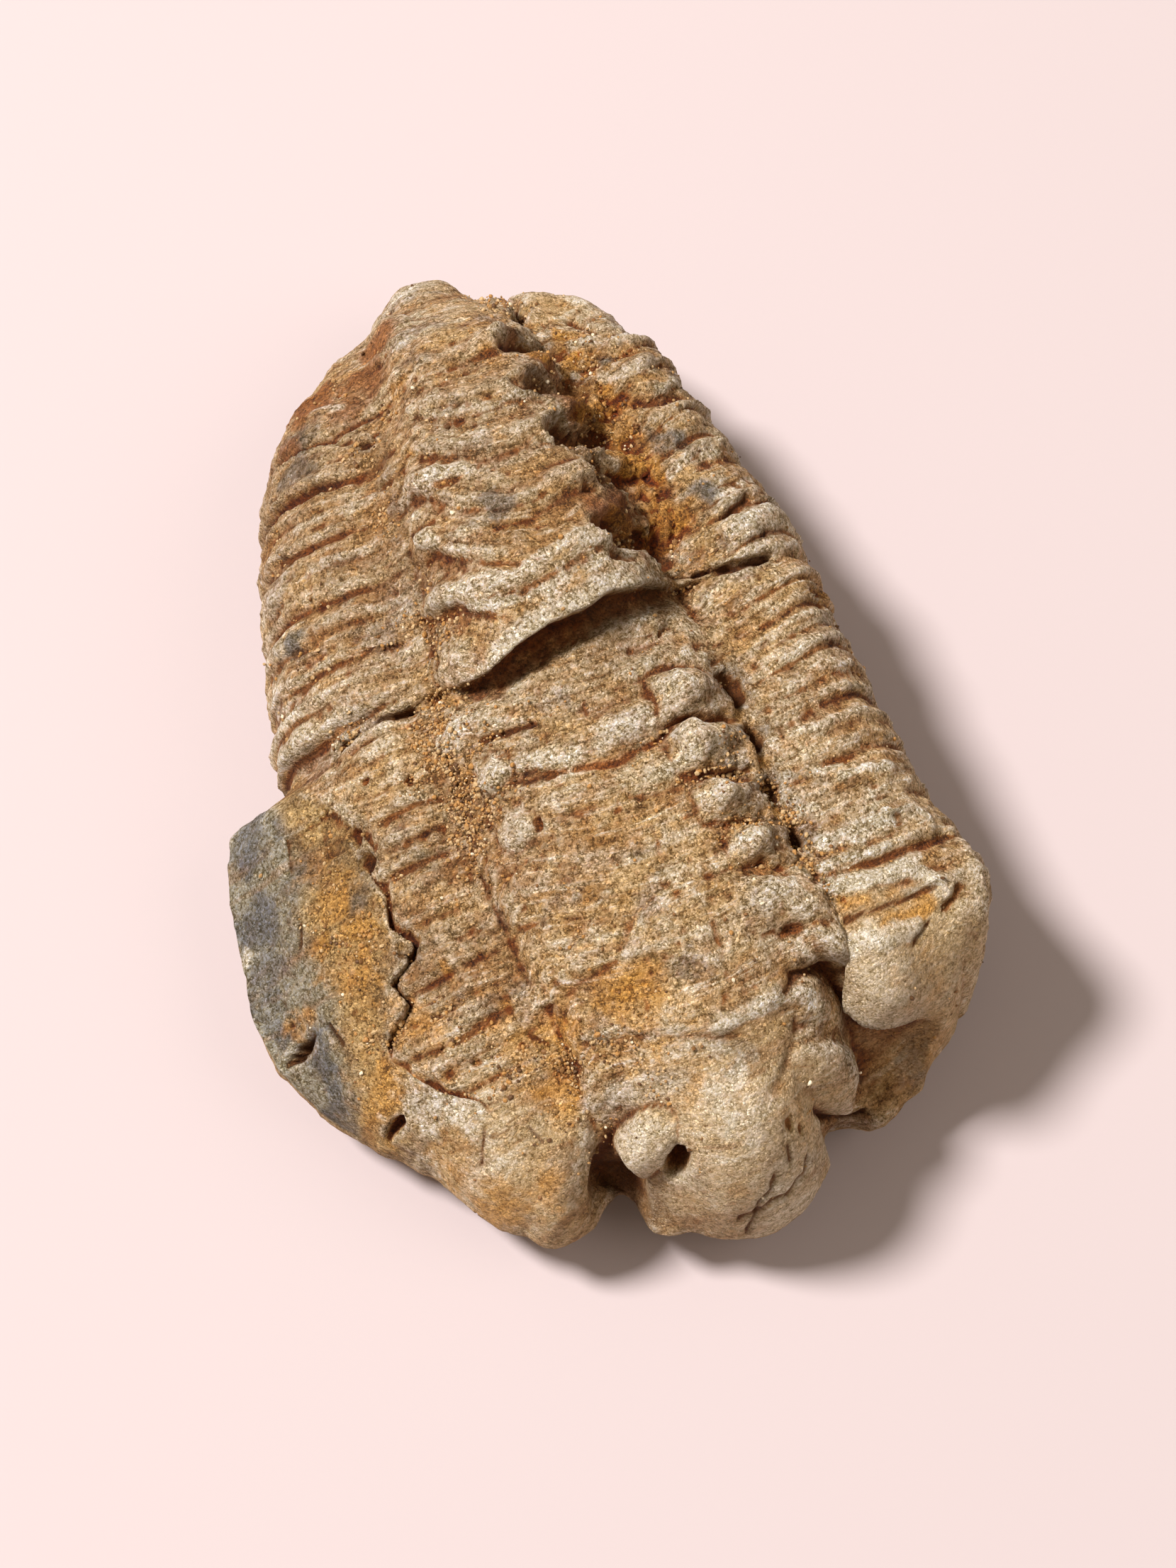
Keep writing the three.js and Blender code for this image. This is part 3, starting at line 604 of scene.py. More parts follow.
def terrace(x, y, line, rise, reach, edge=0.22):
    """A step: the ground to the left of the line stands higher, and fades out over `reach`."""
    nearest, left = from_line(x, y, line)
    return rise * smooth(-edge, edge, left) * fade(0.2 * reach, reach, nearest)


# %% [markdown]
# Along the axis the knobs come in rows. Those on the +x side are the clearest: each ring ends in a knob
# that stands above a deep pit. The head has the largest ones, among them the swollen front lobe between
# the cheeks.

# %% Where the lumps and pits are
SWELLINGS = [
    (1.8, -29.2, 5.4, 4.2, 1.4),  # the front lobe of the head
    (-11.6, -25.2, 4.2, 4.6, 0.7),  # the -x cheek
    (-5.7, -28.7, 1.9, 3.6, -2.7),  # the valley beside it
    (13.6, -21.0, 4.8, 4.4, 0.6),  # the +x cheek
    (12.6, -26.6, 4.6, 3.2, -1.3),  # the hollow under it
    (7.9, -26.0, 2.8, 2.3, 1.15), (7.7, -22.8, 2.2, 1.8, 0.85),  # two soft beads beside the lobe
    (18.4, -19.8, 2.6, 4.0, 0.7),  # its raised margin
    (8.2, -28.8, 2.2, 1.3, -1.2),
    (7.8, 26.6, 4.8, 3.0, 0.9),  # the smooth lobe beside the tail
    (0.6, 30.0, 3.0, 2.2, 0.9),  # the tip of the tail
    (-15.4, 2.6, 1.7, 1.4, 0.8), (-15.0, 6.0, 1.6, 1.3, 0.6), (-14.2, 8.6, 1.6, 1.2, 0.5),  # worn rib ends
    (-13.8, 11.9, 1.4, 1.1, 0.5), (-13.2, 14.2, 1.2, 1.0, 0.4), (-12.5, 16.6, 1.2, 1.0, 0.45),
    (5.0, -0.6, 3.0, 1.5, -0.5),  # the ground under the ledge
]
AXIS_KNOBS = [
    (6.0, -1.9, 2.0, 1.1, 0.3), (-5.9, -1.9, 2.4, 1.2, 0.7), (-5.5, -5.2, 1.1, 1.0, 0.85),
    (-5.3, -8.9, 1.2, 1.1, 0.85), (-5.6, -12.0, 1.6, 1.2, 0.35), (-5.6, -15.3, 1.6, 1.2, 0.3),
    (-3.7, 12.8, 1.1, 0.6, 0.4), (-5.2, 9.1, 1.0, 1.1, 0.55), (-5.3, 5.4, 1.1, 1.0, 0.5),
    (-5.7, 1.8, 1.3, 1.3, 0.6),
    (2.0, -4.9, 3.0, 1.0, 0.15), (-6.5, 0.3, 0.5, 0.45, 0.5), (-9.8, -7.0, 0.5, 0.5, 0.55),
]
PROWS = [  # tail, tip, half width, height, share of the length up to the crest
    ((4.1, -4.4), (8.7, -4.9), 1.5, 2.2, 0.25), ((4.1, -7.5), (8.8, -8.1), 1.35, 2.1, 0.25),
    ((4.5, -11.0), (8.7, -11.5), 1.25, 1.9, 0.25), ((5.4, -14.0), (9.2, -14.5), 1.2, 1.8, 0.3),
    ((4.8, -17.3), (9.4, -17.9), 1.5, 1.0, 0.3), ((6.4, -20.4), (10.1, -20.1), 0.9, 0.9, 0.4),
    ((1.0, 20.8), (3.7, 21.8), 0.7, 0.55, 0.75), ((1.2, 16.4), (4.4, 17.1), 0.8, 0.7, 0.75),
    ((1.2, 12.8), (4.4, 13.5), 0.8, 0.7, 0.75), ((2.2, 9.2), (5.4, 9.9), 0.9, 0.8, 0.75),
    ((2.0, 4.7), (5.2, 5.5), 1.0, 0.8, 0.75),
]
BEADS = [
    (-3.9, -26.9, 2.2, 1.45, 1.4),  # the knob at the side of the front lobe
    (-2.2, 25.8, 1.2, 2.6, 0.5),  # a rusty lobe beside the tail
    (-3.7, 24.4, 0.6, 0.5, 0.35),
]
PITS = [
    (-2.1, -28.35, 0.85, 0.6, -2.1),  # the hole beside the bead
    (9.0, -4.3, 1.0, 1.3, -1.8), (9.1, -7.6, 0.9, 1.1, -1.7), (9.0, -11.0, 0.85, 1.0, -1.6),
    (9.5, -14.1, 0.7, 0.9, -1.4),
    (7.4, -6.2, 1.0, 0.35, -0.4), (7.4, -9.4, 1.0, 0.35, -0.4), (7.6, -12.9, 1.0, 0.35, -0.4),
    (5.0, 21.0, 2.4, 1.0, -1.4), (4.8, 17.2, 2.6, 1.0, -1.5), (6.9, 18.0, 1.0, 0.8, -0.6),
    (5.4, 13.4, 2.2, 1.2, -1.7), (7.0, 13.8, 0.9, 0.8, -0.5), (6.3, 9.9, 1.6, 0.6, -0.8),
    (6.2, 6.2, 2.4, 1.4, -1.9), (4.9, 4.5, 1.6, 0.6, -0.6), (7.8, 5.2, 0.9, 1.2, -0.8),
    (6.4, 15.6, 1.6, 0.8, 0.8), (7.6, 11.8, 2.4, 1.0, 0.8), (8.9, 7.8, 1.6, 1.3, 0.6),  # crumbs between them
    (-16.8, -20.9, 0.7, 0.35, -1.1), (-6.2, 18.2, 0.55, 0.4, -0.7), (-5.6, 18.7, 0.4, 0.35, -0.6),
    (-6.1, 14.4, 0.5, 0.35, -0.5), (-10.2, 17.3, 0.35, 0.45, -0.6), (-4.7, 26.7, 0.3, 0.3, -0.4),
    (-6.6, 23.5, 0.3, 0.3, -0.4), (-4.3, -9.1, 0.32, 0.45, -0.7), (-12.5, -2.2, 0.35, 0.3, -0.6),
    (-10.2, -3.3, 0.35, 0.3, -0.5), (-13.8, -6.5, 0.5, 0.7, -1.1), (-13.4, -12.3, 0.55, 0.8, -1.0),
    (-14.0, -4.7, 0.4, 0.6, -0.8), (7.9, -28.2, 0.5, 0.25, -0.5), (13.7, 17.7, 0.7, 0.9, -0.9),
    (16.2, 1.2, 0.6, 0.5, -0.6), (3.9, -28.3, 0.2, 0.35, -0.4), (4.5, -28.6, 0.18, 0.3, -0.3),
    (15.6, 12.0, 0.6, 0.6, -0.6), (15.9, 8.6, 0.6, 0.5, -0.6), (14.8, 15.0, 0.6, 0.5, -0.6),
]

# %% Where the strokes are
CRACKS = [  # points, half width, depth
    ([(2.6, -30.0), (2.3, -30.6), (1.7, -30.9), (1.4, -31.5), (0.9, -31.9)], 0.12, 0.25),
    ([(4.6, -29.7), (4.4, -30.3), (3.8, -30.5), (3.2, -31.0), (2.4, -31.0), (1.8, -31.3),
      (0.6, -31.3)], 0.12, 0.28),
    ([(3.5, -29.0), (3.5, -29.6)], 0.12, 0.25),
    ([(-12.0, -23.3), (-12.3, -24.0), (-12.5, -24.6)], 0.12, 0.18),
    ([(-9.6, -24.1), (-9.1, -25.0)], 0.12, 0.12), ([(10.2, -20.6), (9.4, -21.0), (8.4, -21.2)], 0.3, 0.7),
    ([(8.4, -21.2), (6.9, -21.5), (5.9, -22.4)], 0.2, 0.4),
    ([(10.8, -19.1), (12.5, -19.3), (15.0, -19.1), (16.3, -18.8)], 0.17, 0.35),
    ([(17.6, -19.2), (17.2, -19.7), (16.5, -20.1)], 0.26, 0.5),
    ([(15.2, -20.6), (14.0, -21.2)], 0.12, 0.2),
    ([(-13.2, 0.9), (-12.2, 0.9), (-11.0, 0.95), (-9.8, 0.9), (-8.9, 0.8)], 0.22, 1.1),
    ([(-18.7, -14.3), (-18.3, -15.7)], 0.12, 0.35), ([(-18.6, -8.0), (-19.0, -9.2)], 0.14, 0.3),
    ([(-5.5, -3.0), (-4.4, -3.2), (-2.8, -3.4)], 0.18, 0.5),
    ([(-4.8, -6.3), (-3.6, -6.6), (-2.6, -6.7)], 0.16, 0.35),
    ([(-9.6, 20.6), (-8.0, 19.6), (-6.6, 18.6)], 0.3, 0.3),
    ([(7.9, 4.2), (10.0, 3.7), (11.9, 3.3), (14.0, 3.4)], 0.2, 0.8),
    ([(12.2, 6.5), (13.9, 7.6)], 0.2, 0.6),
    ([(4.0, 30.5), (4.6, 29.3), (4.3, 28.8), (5.1, 28.2), (4.9, 27.5), (5.6, 27.0), (5.4, 26.5),
      (6.0, 25.9), (5.4, 25.2), (5.2, 24.2)], 0.3, 1.8),
    ([(-3.4, 12.1), (-2.2, 11.9)], 0.25, 0.35), ([(-8.1, -19.6), (-7.3, -20.3)], 0.15, 0.35),
    ([(8.5, -24.6), (7.4, -24.75), (6.4, -24.9)], 0.25, 0.2),
    ([(9.6, -28.0), (7.6, -28.3), (6.1, -28.1)], 0.2, 0.5),
]
CREASES = [  # points, half width, height
    ([(-6.0, -23.6), (-7.2, -25.3), (-8.6, -27.4), (-9.6, -29.2)], 1.9, 0.75),
    ([(1.8, -23.1), (4.3, -22.8), (6.3, -22.2)], 0.9, 0.35),
    ([(18.9, -15.5), (18.6, -19.2), (17.9, -21.7), (17.4, -23.0)], 0.6, 0.4),
    ([(19.6, -16.0), (19.2, -19.4), (18.5, -22.0)], 0.5, -0.4),
    ([(6.3, -23.5), (6.0, -24.8), (4.6, -26.5), (2.9, -27.3)], 0.35, -0.13),
    ([(5.9, 28.3), (6.7, 26.5), (9.1, 25.7), (10.8, 24.2)], 0.9, 0.35),
    ([(8.4, 24.0), (9.2, 22.4)], 0.45, -0.6), ([(-3.4, -4.9), (-0.3, -5.9), (3.3, -5.4)], 1.4, 0.35),
    ([(-4.7, -5.8), (-2.0, -6.8), (1.2, -7.3), (4.6, -6.6)], 0.4, -0.25),
    ([(-3.1, -8.2), (1.0, -8.7), (3.6, -8.6)], 1.3, 0.3),
    ([(8.2, 18.5), (10.4, 18.5), (12.6, 18.9)], 0.7, 0.35),
    ([(10.6, 14.2), (12.0, 14.6), (14.1, 16.2)], 0.7, 0.4),
    ([(9.6, 10.9), (11.1, 11.2), (14.2, 12.7)], 0.7, 0.4), ([(8.5, 5.5), (12.8, 6.1)], 0.6, 0.35),
    ([(9.3, 17.7), (11.5, 18.0), (13.2, 18.6)], 0.8, 0.35),
    ([(8.8, 16.3), (11.2, 15.6), (13.8, 16.0)], 0.7, -0.5), ([(11.3, 13.6), (13.2, 14.4)], 0.7, 0.35),
    ([(11.6, 12.2), (13.7, 13.0), (14.6, 12.3)], 0.5, -0.45),
    ([(11.0, 6.8), (12.8, 7.3), (14.7, 8.3)], 0.4, 0.3),
    ([(8.2, 20.9), (10.2, 20.3), (12.0, 20.6)], 1.1, 0.45),
]
RUBBED_CREASES = [  # points, half width and height, then half width and strength of their pale line
    ([(11.1, -14.7), (13.0, -14.8), (15.0, -14.4)], 0.8, 0.2, 0.7, 0.8),
    ([(10.1, -17.2), (12.4, -17.6), (14.9, -17.5), (16.3, -18.4)], 0.8, 0.32, 0.65, 1.0),
    ([(10.7, -20.0), (12.7, -20.6), (14.5, -20.6)], 0.7, 0.22, 0.6, 0.8),
    ([(10.4, -16.2), (14.4, -16.0)], 0.6, 0.18, 0.45, 0.7),
    ([(10.2, -10.4), (13.4, -10.5)], 0.6, 0.14, 0.45, 0.6),
    ([(13.4, -11.4), (16.2, -11.1)], 0.6, 0.2, 0.5, 0.7),
    ([(15.1, -13.9), (17.1, -14.1), (17.7, -15.2)], 0.4, 0.15, 0.3, 0.6),
    ([(12.6, 5.5), (14.0, 6.2), (15.6, 7.2)], 1.1, 0.45, 0.8, 0.6),
]
CREASES += [row[:3] for row in RUBBED_CREASES]
TERRACES = [  # points with the high ground on their left, height, reach
    ([(-6.3, -18.4), (-4.7, -18.1), (-2.5, -18.1), (0.5, -18.8), (1.2, -19.3)], 0.3, 3.0),
    ([(-4.4, -21.4), (-2.7, -22.1), (-0.9, -22.8), (1.0, -23.4)], 0.35, 3.0),
    ([(2.9, -20.0), (3.0, -18.8), (3.1, -17.4), (3.5, -15.6)], 0.2, 2.6),
    ([(9.1, -17.3), (6.2, -15.9), (3.4, -15.4), (1.9, -15.2), (-0.5, -16.1), (-1.6, -17.4)], 0.35, 2.6),
    ([(-3.0, 17.6), (-1.3, 16.2), (1.0, 15.9), (2.5, 16.3), (3.9, 17.1)], 0.35, 2.2),
    ([(0.0, 13.5), (1.9, 13.3), (3.7, 13.4)], 0.25, 1.8),
    ([(-5.5, 4.9), (-3.6, 4.0), (-1.3, 3.4), (1.0, 3.9), (2.9, 4.7)], 0.4, 2.0),
    ([(-4.6, 8.6), (-2.4, 7.8), (0.4, 7.6), (2.6, 8.4), (4.4, 9.4)], 0.35, 2.0),
    ([(-3.2, 21.0), (-1.2, 20.2), (1.4, 20.4), (3.4, 21.3)], 0.3, 1.8),
    ([(-4.7, 12.4), (-3.5, 12.6), (-2.5, 11.9)], 0.3, 1.6),
]
CHEEK_EDGE = [(9.3, -21.3), (10.2, -22.5), (10.9, -23.4), (12.9, -24.6), (15.5, -25.6)]
CHEEK_STEP, CHEEK_REACH = 1.5, 7.0
CHEEK_FADE = (11.5, 15.5)  # from one x to another the cheek's edge dies out
NOTCH = [(-21.9, -14.5), (-20.9, -14.0), (-19.5, -14.2), (-19.9, -14.8), (-20.8, -15.2), (-21.9, -15.0)]
NOTCH_DEPTH, NOTCH_WALL = 1.4, 0.35
ROUNDNESS = {"swelling": 1.6, "knob": 0.95, "crisp": 0.8}  # the power of each kind of lump


def inside(x, y, corners):
    """Distance inside the convex shape with these corners, clockwise. It is negative outside."""
    depth = np.full(x.shape, 1e9)
    for (ax, ay), (bx, by) in zip(corners, corners[1:] + corners[:1]):
        length = math.hypot(bx - ax, by - ay)
        depth = np.minimum(depth, ((by - ay) * (x - ax) - (bx - ax) * (y - ay)) / length)
    return depth


def details(x, y):
    total = lump(x, y, SWELLINGS, ROUNDNESS["swelling"]) + lump(x, y, AXIS_KNOBS, ROUNDNESS["knob"])
    total += lump(x, y, BEADS, ROUNDNESS["crisp"]) + lump(x, y, PITS, ROUNDNESS["crisp"])
    total += sum(prow(x, y, *knob) for knob in PROWS)
    total += sum(groove(x, y, *crack) for crack in CRACKS)
    total += sum(crease(x, y, *ridge) for ridge in CREASES)
    total += terrace(x, y, CHEEK_EDGE, CHEEK_STEP, CHEEK_REACH, 0.35) * fade(*CHEEK_FADE, x)
    total -= NOTCH_DEPTH * smooth(0, NOTCH_WALL, inside(x, y, NOTCH))
    return total + sum(terrace(x, y, *step) for step in TERRACES)


# %% [markdown]
# ## Putting the surface together
#
# The layers are added in an order that a carver would follow. `body` gives the smooth form, its normals
# give the direction in which the relief stands out, and last come the grain and the small pits of
# weathering. `wear` says how rough each region is: the head and the tail lobe are polished by handling, and
# the furrows are coarse.

# %% Body, relief and weathering
def body(across, along):
    x, y = plan(across, along)
    x = x + rim_scallops(across, x, y)
    flat = np.stack([x, y, np.zeros_like(x)], -1)
    fossil = crown(x, y) + ledge_lift(x, y) - edge_gap(x, y)
    top = mix(fossil, plate_top(flat), on_plate(x, y))
    rim = rim_height(x, y)
    return np.stack([x, y, rim + np.maximum(0, top - rim) * shoulder(across, along)], -1)


def normals_of(points):
    across = np.gradient(points, axis=1)
    along = np.gradient(points, axis=0)
    normal = np.cross(across, along)
    return normal / np.maximum(1e-9, np.linalg.norm(normal, axis=-1, keepdims=True))


def blurred(values, reach):
    """Averages over a square of grid points, in both directions."""
    for axis in (0, 1):
        padding = [(reach + 1, reach) if i == axis else (0, 0) for i in range(values.ndim)]
        total = np.cumsum(np.pad(values, padding, mode="edge"), axis=axis)
        high = np.take(total, range(2 * reach + 1, total.shape[axis]), axis=axis)
        low = np.take(total, range(0, total.shape[axis] - 2 * reach - 1), axis=axis)
        values = (high - low) / (2 * reach + 1)
    return values


POLISHED = [  # x, y, half width, half length, how much
    (1.5, -28, 7, 6, 0.75), (13.5, -22.5, 5, 6.5, 0.85), (-10.5, -25.5, 6, 5.5, 0.6),
    (8.4, 26.4, 4, 3, 0.5), (0, 27, 3.5, 6, 0.3),
]
COARSE = [
    (7.0, 13, 3.2, 11, 1.1), (6.6, 15.6, 1.8, 0.9, 0.8), (7.8, 11.8, 2.8, 1.3, 0.9),
    (8.9, 7.6, 1.9, 1.8, 0.8), (-7, -5, 3, 6, 0.5), (7, -10, 4, 9, 0.3),
]
# size, height and layer of the random numbers, for each kind of grain
SOFT_GRAIN = [(6.5, 0.2, 12), (0.8, 0.055, 15), (0.45, 0.06, 18)]
CRISP_GRAIN = [(2.6, 0.055, 13), (1.3, 0.035, 14)]
CHIPS = [(1.5, 0.07, 5), (0.8, 0.04, 6)]
PIT_DEPTH = 0.1
RUBBLE_START = 1.1  # from this much wear on, there is rubble


def wear(x, y):
    """How rough the surface is, from 0.3 on polished places to about 1.8 in coarse ones."""
    furrow = np.exp(-((outside_axis(x, y) / 1.8) ** 2)) * smooth(-26, -20, y)
    rough_places = 0.35 * furrow + lump(x, y, COARSE, 0.7)
    at_lip = 1 - 0.35 * fade(0.3, 1.4, np.abs(behind_ledge(x, y))) * ledge_share(x)
    roughness = 1 - clamp(lump(x, y, POLISHED, 0.5), 0, 0.7) + rough_places
    return roughness * at_lip * (1 - 0.35 * on_plate(x, y))


def crisp(points, size, layer):
    """Noise with sharp crests and round hollows, from -1 to 1."""
    return 1 - 2.2 * np.abs(noise(points, size, layer))


def weathering(points, x, y):
    grain = sum(rise * noise(points, size, layer) for size, rise, layer in SOFT_GRAIN)
    grain = grain + sum(rise * crisp(points, size, layer) for size, rise, layer in CRISP_GRAIN)
    chips = sum(rise * facets(x / size, y / size, layer) for size, rise, layer in CHIPS)
    pitted = smooth(0.55, 0.75, noise(points, 0.7, 16)) + 0.6 * smooth(0.58, 0.75, noise(points, 1.3, 17))
    rubble = 0.22 * crisp(points, 1.2, 28) + 0.24 * facets(x / 0.9, y / 0.9, 7)
    return (grain + chips - PIT_DEPTH * pitted) * wear(x, y) + rubble * clamp(wear(x, y) - RUBBLE_START)


# %% [markdown]
# The grid should be as fine on the steep head as on the flat back. So a coarse grid is made first, and the
# distances between its rows and columns say how to spread the final ones evenly over the real surface.

# %% Spreading rows and columns evenly
ROWS, COLUMNS = ((312, 270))


def even_shares(count, axis):
    """Shares from 0 to 1 that are evenly spaced along the surface."""
    shares = np.linspace(0, 1, 900)
    probe = np.linspace(0.02, 0.98, 60)
    along, across = np.meshgrid(*((shares, probe) if axis == 0 else (probe, shares)), indexing="ij")
    points = body(across, along)
    steps = np.linalg.norm(np.diff(points, axis=axis), axis=-1)
    spacing = (steps**3).mean(axis=1 - axis) ** (1 / 3)
    walked = np.concatenate([[0], np.cumsum(spacing)])
    return np.interp(np.linspace(0, 1, count), walked / walked[-1], shares)


row_shares = even_shares(ROWS, 0)
column_shares = even_shares(COLUMNS, 1)
along, across = np.meshgrid(row_shares, column_shares, indexing="ij")

# %% Sculpt the top
smooth_top = body(across, along)
x, y = smooth_top[..., 0], smooth_top[..., 1]
normal = normals_of(blurred(smooth_top, 4))
segments = (ribs(x, y, smooth_top) + rings(x, y, smooth_top) + ledge_slit(x, y)) * (1 - on_plate(x, y))
relief = segments + details(x, y)
top = smooth_top + normal * relief[..., None]
top = top + normals_of(blurred(top, 2)) * weathering(top, x, y)[..., None]
top[..., 1] += overhang(x, y)
print("top of the stone:", top.shape[:2], "points, highest", round(float(top[..., 2].max()), 2), "mm")

# %% [markdown]
# ## The underside
#
# Under the rim the stone turns in and down to the patch that it rests on. Rings of points follow the rim
# round, each a little smaller and lower than the one above. A little noise keeps them from looking turned
# on a lathe, except on the flat patch, which really is flat.

# %% Rings under the rim
RINGS_BELOW = [  # share of the outline, share of the rim's height, roughness in mm
    (1.0, 0.86, 0.25), (0.995, 0.7, 0.35), (0.98, 0.55, 0.4), (0.955, 0.42, 0.4), (0.92, 0.3, 0.35),
    (0.88, 0.21, 0.3), (0.83, 0.13, 0.25), (0.77, 0.07, 0.15), (0.7, 0.02, 0.05), (0.64, 0.0, 0.0),
    (0.45, 0.0, 0.0), (0.25, 0.0, 0.0), (0.1, 0.0, 0.0),
]


def rim_of(grid):
    """The border of the grid, once round, counter-clockwise from above."""
    return np.concatenate([grid[0, :-1], grid[:-1, -1], grid[-1, :0:-1], grid[:0:-1, 0]])


numbers = np.arange(top.shape[0] * top.shape[1]).reshape(top.shape[:2])
rim_numbers = rim_of(numbers)
rim = rim_of(top)
all_points = [top.reshape(-1, 3)]
quads = np.stack([numbers[:-1, :-1], numbers[:-1, 1:], numbers[1:, 1:], numbers[1:, :-1]], -1).reshape(-1, 4)
faces = [quads]
count = numbers.size
above = rim_numbers
for share, height_share, roughness in RINGS_BELOW:
    ring = rim * [share, share, height_share]
    outward = ring * [1, 1, 0] / np.maximum(1, np.linalg.norm(ring[:, :2], axis=1, keepdims=True))
    ring = ring + outward * (rough(ring, 4.5, 3, 21) - 0.6)[:, None] * roughness
    ring[:, 2] = np.maximum(0, ring[:, 2])
    below = np.arange(count, count + len(ring))
    faces.append(np.stack([np.roll(above, -1), above, below, np.roll(below, -1)], -1))
    all_points.append(ring)
    count += len(ring)
    above = below
all_points.append(np.zeros((1, 3)))
closing = np.stack([np.roll(above, -1), above, np.full(len(above), count)], -1)
points = np.concatenate(all_points)
print("stone:", len(points), "points,", 2 * sum(map(len, faces)) + len(closing), "triangles")

# %% [markdown]
# ## Masks for the colours
#
# The colours of this stone follow its form. Furrows are darker, with dirt and finer mud in them and painted
# shade, and crests are paler, because they are rubbed. `stand_out` measures that on the sculpted points
# themselves: how far a point stands above the average of its neighbours. Two widths of neighbourhood catch
# single ribs and single grains.
#
# The stains are another matter: ochre and rust grew where water ran. They're painted with soft
# round brushes and along lines, and the shader later breaks up their edges. Each mask is stored on the mesh
# as a point attribute, so the material can read it by name.
# Some brushes paint light and shade instead of stains: painted highlights among the pale marks, and painted
# shade and shadow in the darker places and the pockets.

# %% Crests and hollows
def stand_out(reach, scale):
    """How far the surface stands above its neighbourhood, about -1 to 1."""
    around = blurred(top, reach)
    return clamp(((top - around) * normals_of(around)).sum(-1) / scale, -1.5, 1.5)


grid_reach = 1.0
crest_fine = stand_out(max(1, round(2 * grid_reach)), 0.16)
crest_middle = stand_out(round(7 * grid_reach), 0.55)
print("crests: mean size", [round(float(np.abs(crest).mean()), 2) for crest in (crest_fine, crest_middle)])

# %% Where the stains, painted highlights and painted shade are
OCHRE = [  # x, y, radius, strength
    (8.2, 12.0, 1.5, 1.0), (8.6, 8.0, 1.3, 1.0), (8.5, 10.4, 1.2, 0.7),
    (-3.4, 20.8, 1.3, 0.7), (2.5, 20.0, 1.6, 0.6), (-4.5, 15.6, 1.2, 0.5), (5.1, 19.9, 1.3, 0.8),
    (6.9, 20.6, 1.2, 0.9), (7.3, 22.4, 1.2, 0.9), (6.5, 16.6, 1.6, 1.0), (7.1, 12.4, 1.5, 0.9),
    (9.3, 6.8, 1.2, 0.8), (9.1, 15.0, 1.3, 0.6), (6.0, 7.3, 1.1, 0.8), (8.6, 6.5, 1.0, 0.8),
    (16.7, 1.1, 0.9, 0.7), (-16.3, -7.0, 1.6, 0.7), (-15.3, -9.9, 1.8, 0.8), (-17.8, -11.3, 1.5, 0.6),
    (-21.0, -12.9, 1.2, 0.7), (-13.3, -16.0, 1.3, 0.8), (-14.8, -16.4, 1.2, 0.8),
    (-11.4, -14.6, 0.6, 1.0), (-16.6, -18.9, 1.5, 0.8), (-18.3, -17.4, 1.5, 0.6), (-9.1, -18.2, 1.5, 0.7),
    (-7.5, -22.4, 2.0, 0.8), (-1.5, -20.5, 2.6, 0.8), (-0.3, -25.8, 1.6, 0.6), (-1.7, -23.2, 1.6, 0.6),
    (2.3, -26.6, 1.4, 0.6), (-6.5, -20.2, 1.6, 0.8), (-8.5, -20.4, 1.2, 0.6), (11.5, -18.7, 2.0, 0.5),
    (14.2, -20.1, 1.8, 0.5), (13.0, -16.8, 1.5, 0.4), (-6.5, 0.3, 0.9, 0.9), (8.4, -6.0, 1.3, 0.7),
    (8.7, -9.2, 1.3, 0.7), (8.9, -12.6, 1.2, 0.7), (5.2, -6.3, 1.4, 0.5), (5.3, -9.6, 1.4, 0.5),
    (9.8, -16.0, 1.4, 0.5), (-6.9, -4.3, 1.5, 0.5), (-6.7, -8.0, 1.5, 0.5), (-16.6, -5.5, 1.8, 0.6),
    (-16.2, -12.4, 2.0, 0.7), (-15.8, -14.6, 1.8, 0.6), (-17.2, -19.6, 2.0, 0.7),
    (-12.6, -17.2, 2.0, 0.6), (-11.6, -12.0, 2.2, 0.35), (-10.4, -15.6, 2.2, 0.4),
    (-3.4, -19.6, 2.4, 0.6), (7.6, 18.4, 2.0, 0.7), (8.0, 14.2, 2.2, 0.8), (9.6, 12.4, 1.8, 0.6),
    (8.6, 9.0, 1.8, 0.9), (7.4, 6.6, 1.8, 0.8), (5.6, 24.2, 1.4, 0.6), (-8.2, 18.0, 2.4, 0.35),
    (-9.0, 13.0, 2.4, 0.3), (11.5, -3.6, 2.2, 0.35), (12.0, -9.6, 2.4, 0.4), (12.6, -14.6, 2.2, 0.45),
    (13.4, -19.4, 2.0, 0.6), (1.0, 6.0, 2.5, 0.3), (-1.0, 3.0, 2.0, 0.35), (0.5, -10.5, 3.0, 0.3),
    (-3.0, -14.0, 2.5, 0.35), (-13.5, 4.0, 2.0, 0.3), (-11.0, -4.0, 2.4, 0.3), (1.5, 23.5, 2.0, 0.25),
    (-4.6, 19.4, 1.8, 0.5), (6.4, 15.7, 1.5, 1.0), (8.4, 11.8, 1.8, 1.0), (9.6, 11.0, 1.2, 0.9),
    (9.4, 7.4, 1.5, 1.0), (7.2, 12.2, 1.4, 1.0), (8.0, 15.6, 1.6, 1.0), (8.9, 8.0, 1.6, 1.0),
    (8.0, 17.4, 1.3, 0.8), (7.6, 21.6, 1.4, 0.9), (-12.6, -26.8, 2.2, 0.8), (-9.6, -27.0, 1.6, 0.6),
    (-13.6, -24.6, 1.4, 0.6), (4.2, -28.0, 1.6, 0.5), (0.6, -30.4, 1.8, 0.5), (14.2, -22.6, 2.2, 0.5),
    (-19.6, -13.5, 1.0, 0.7), (-17.8, -9.6, 1.4, 0.7), (-16.6, -8.0, 1.4, 0.7),
]
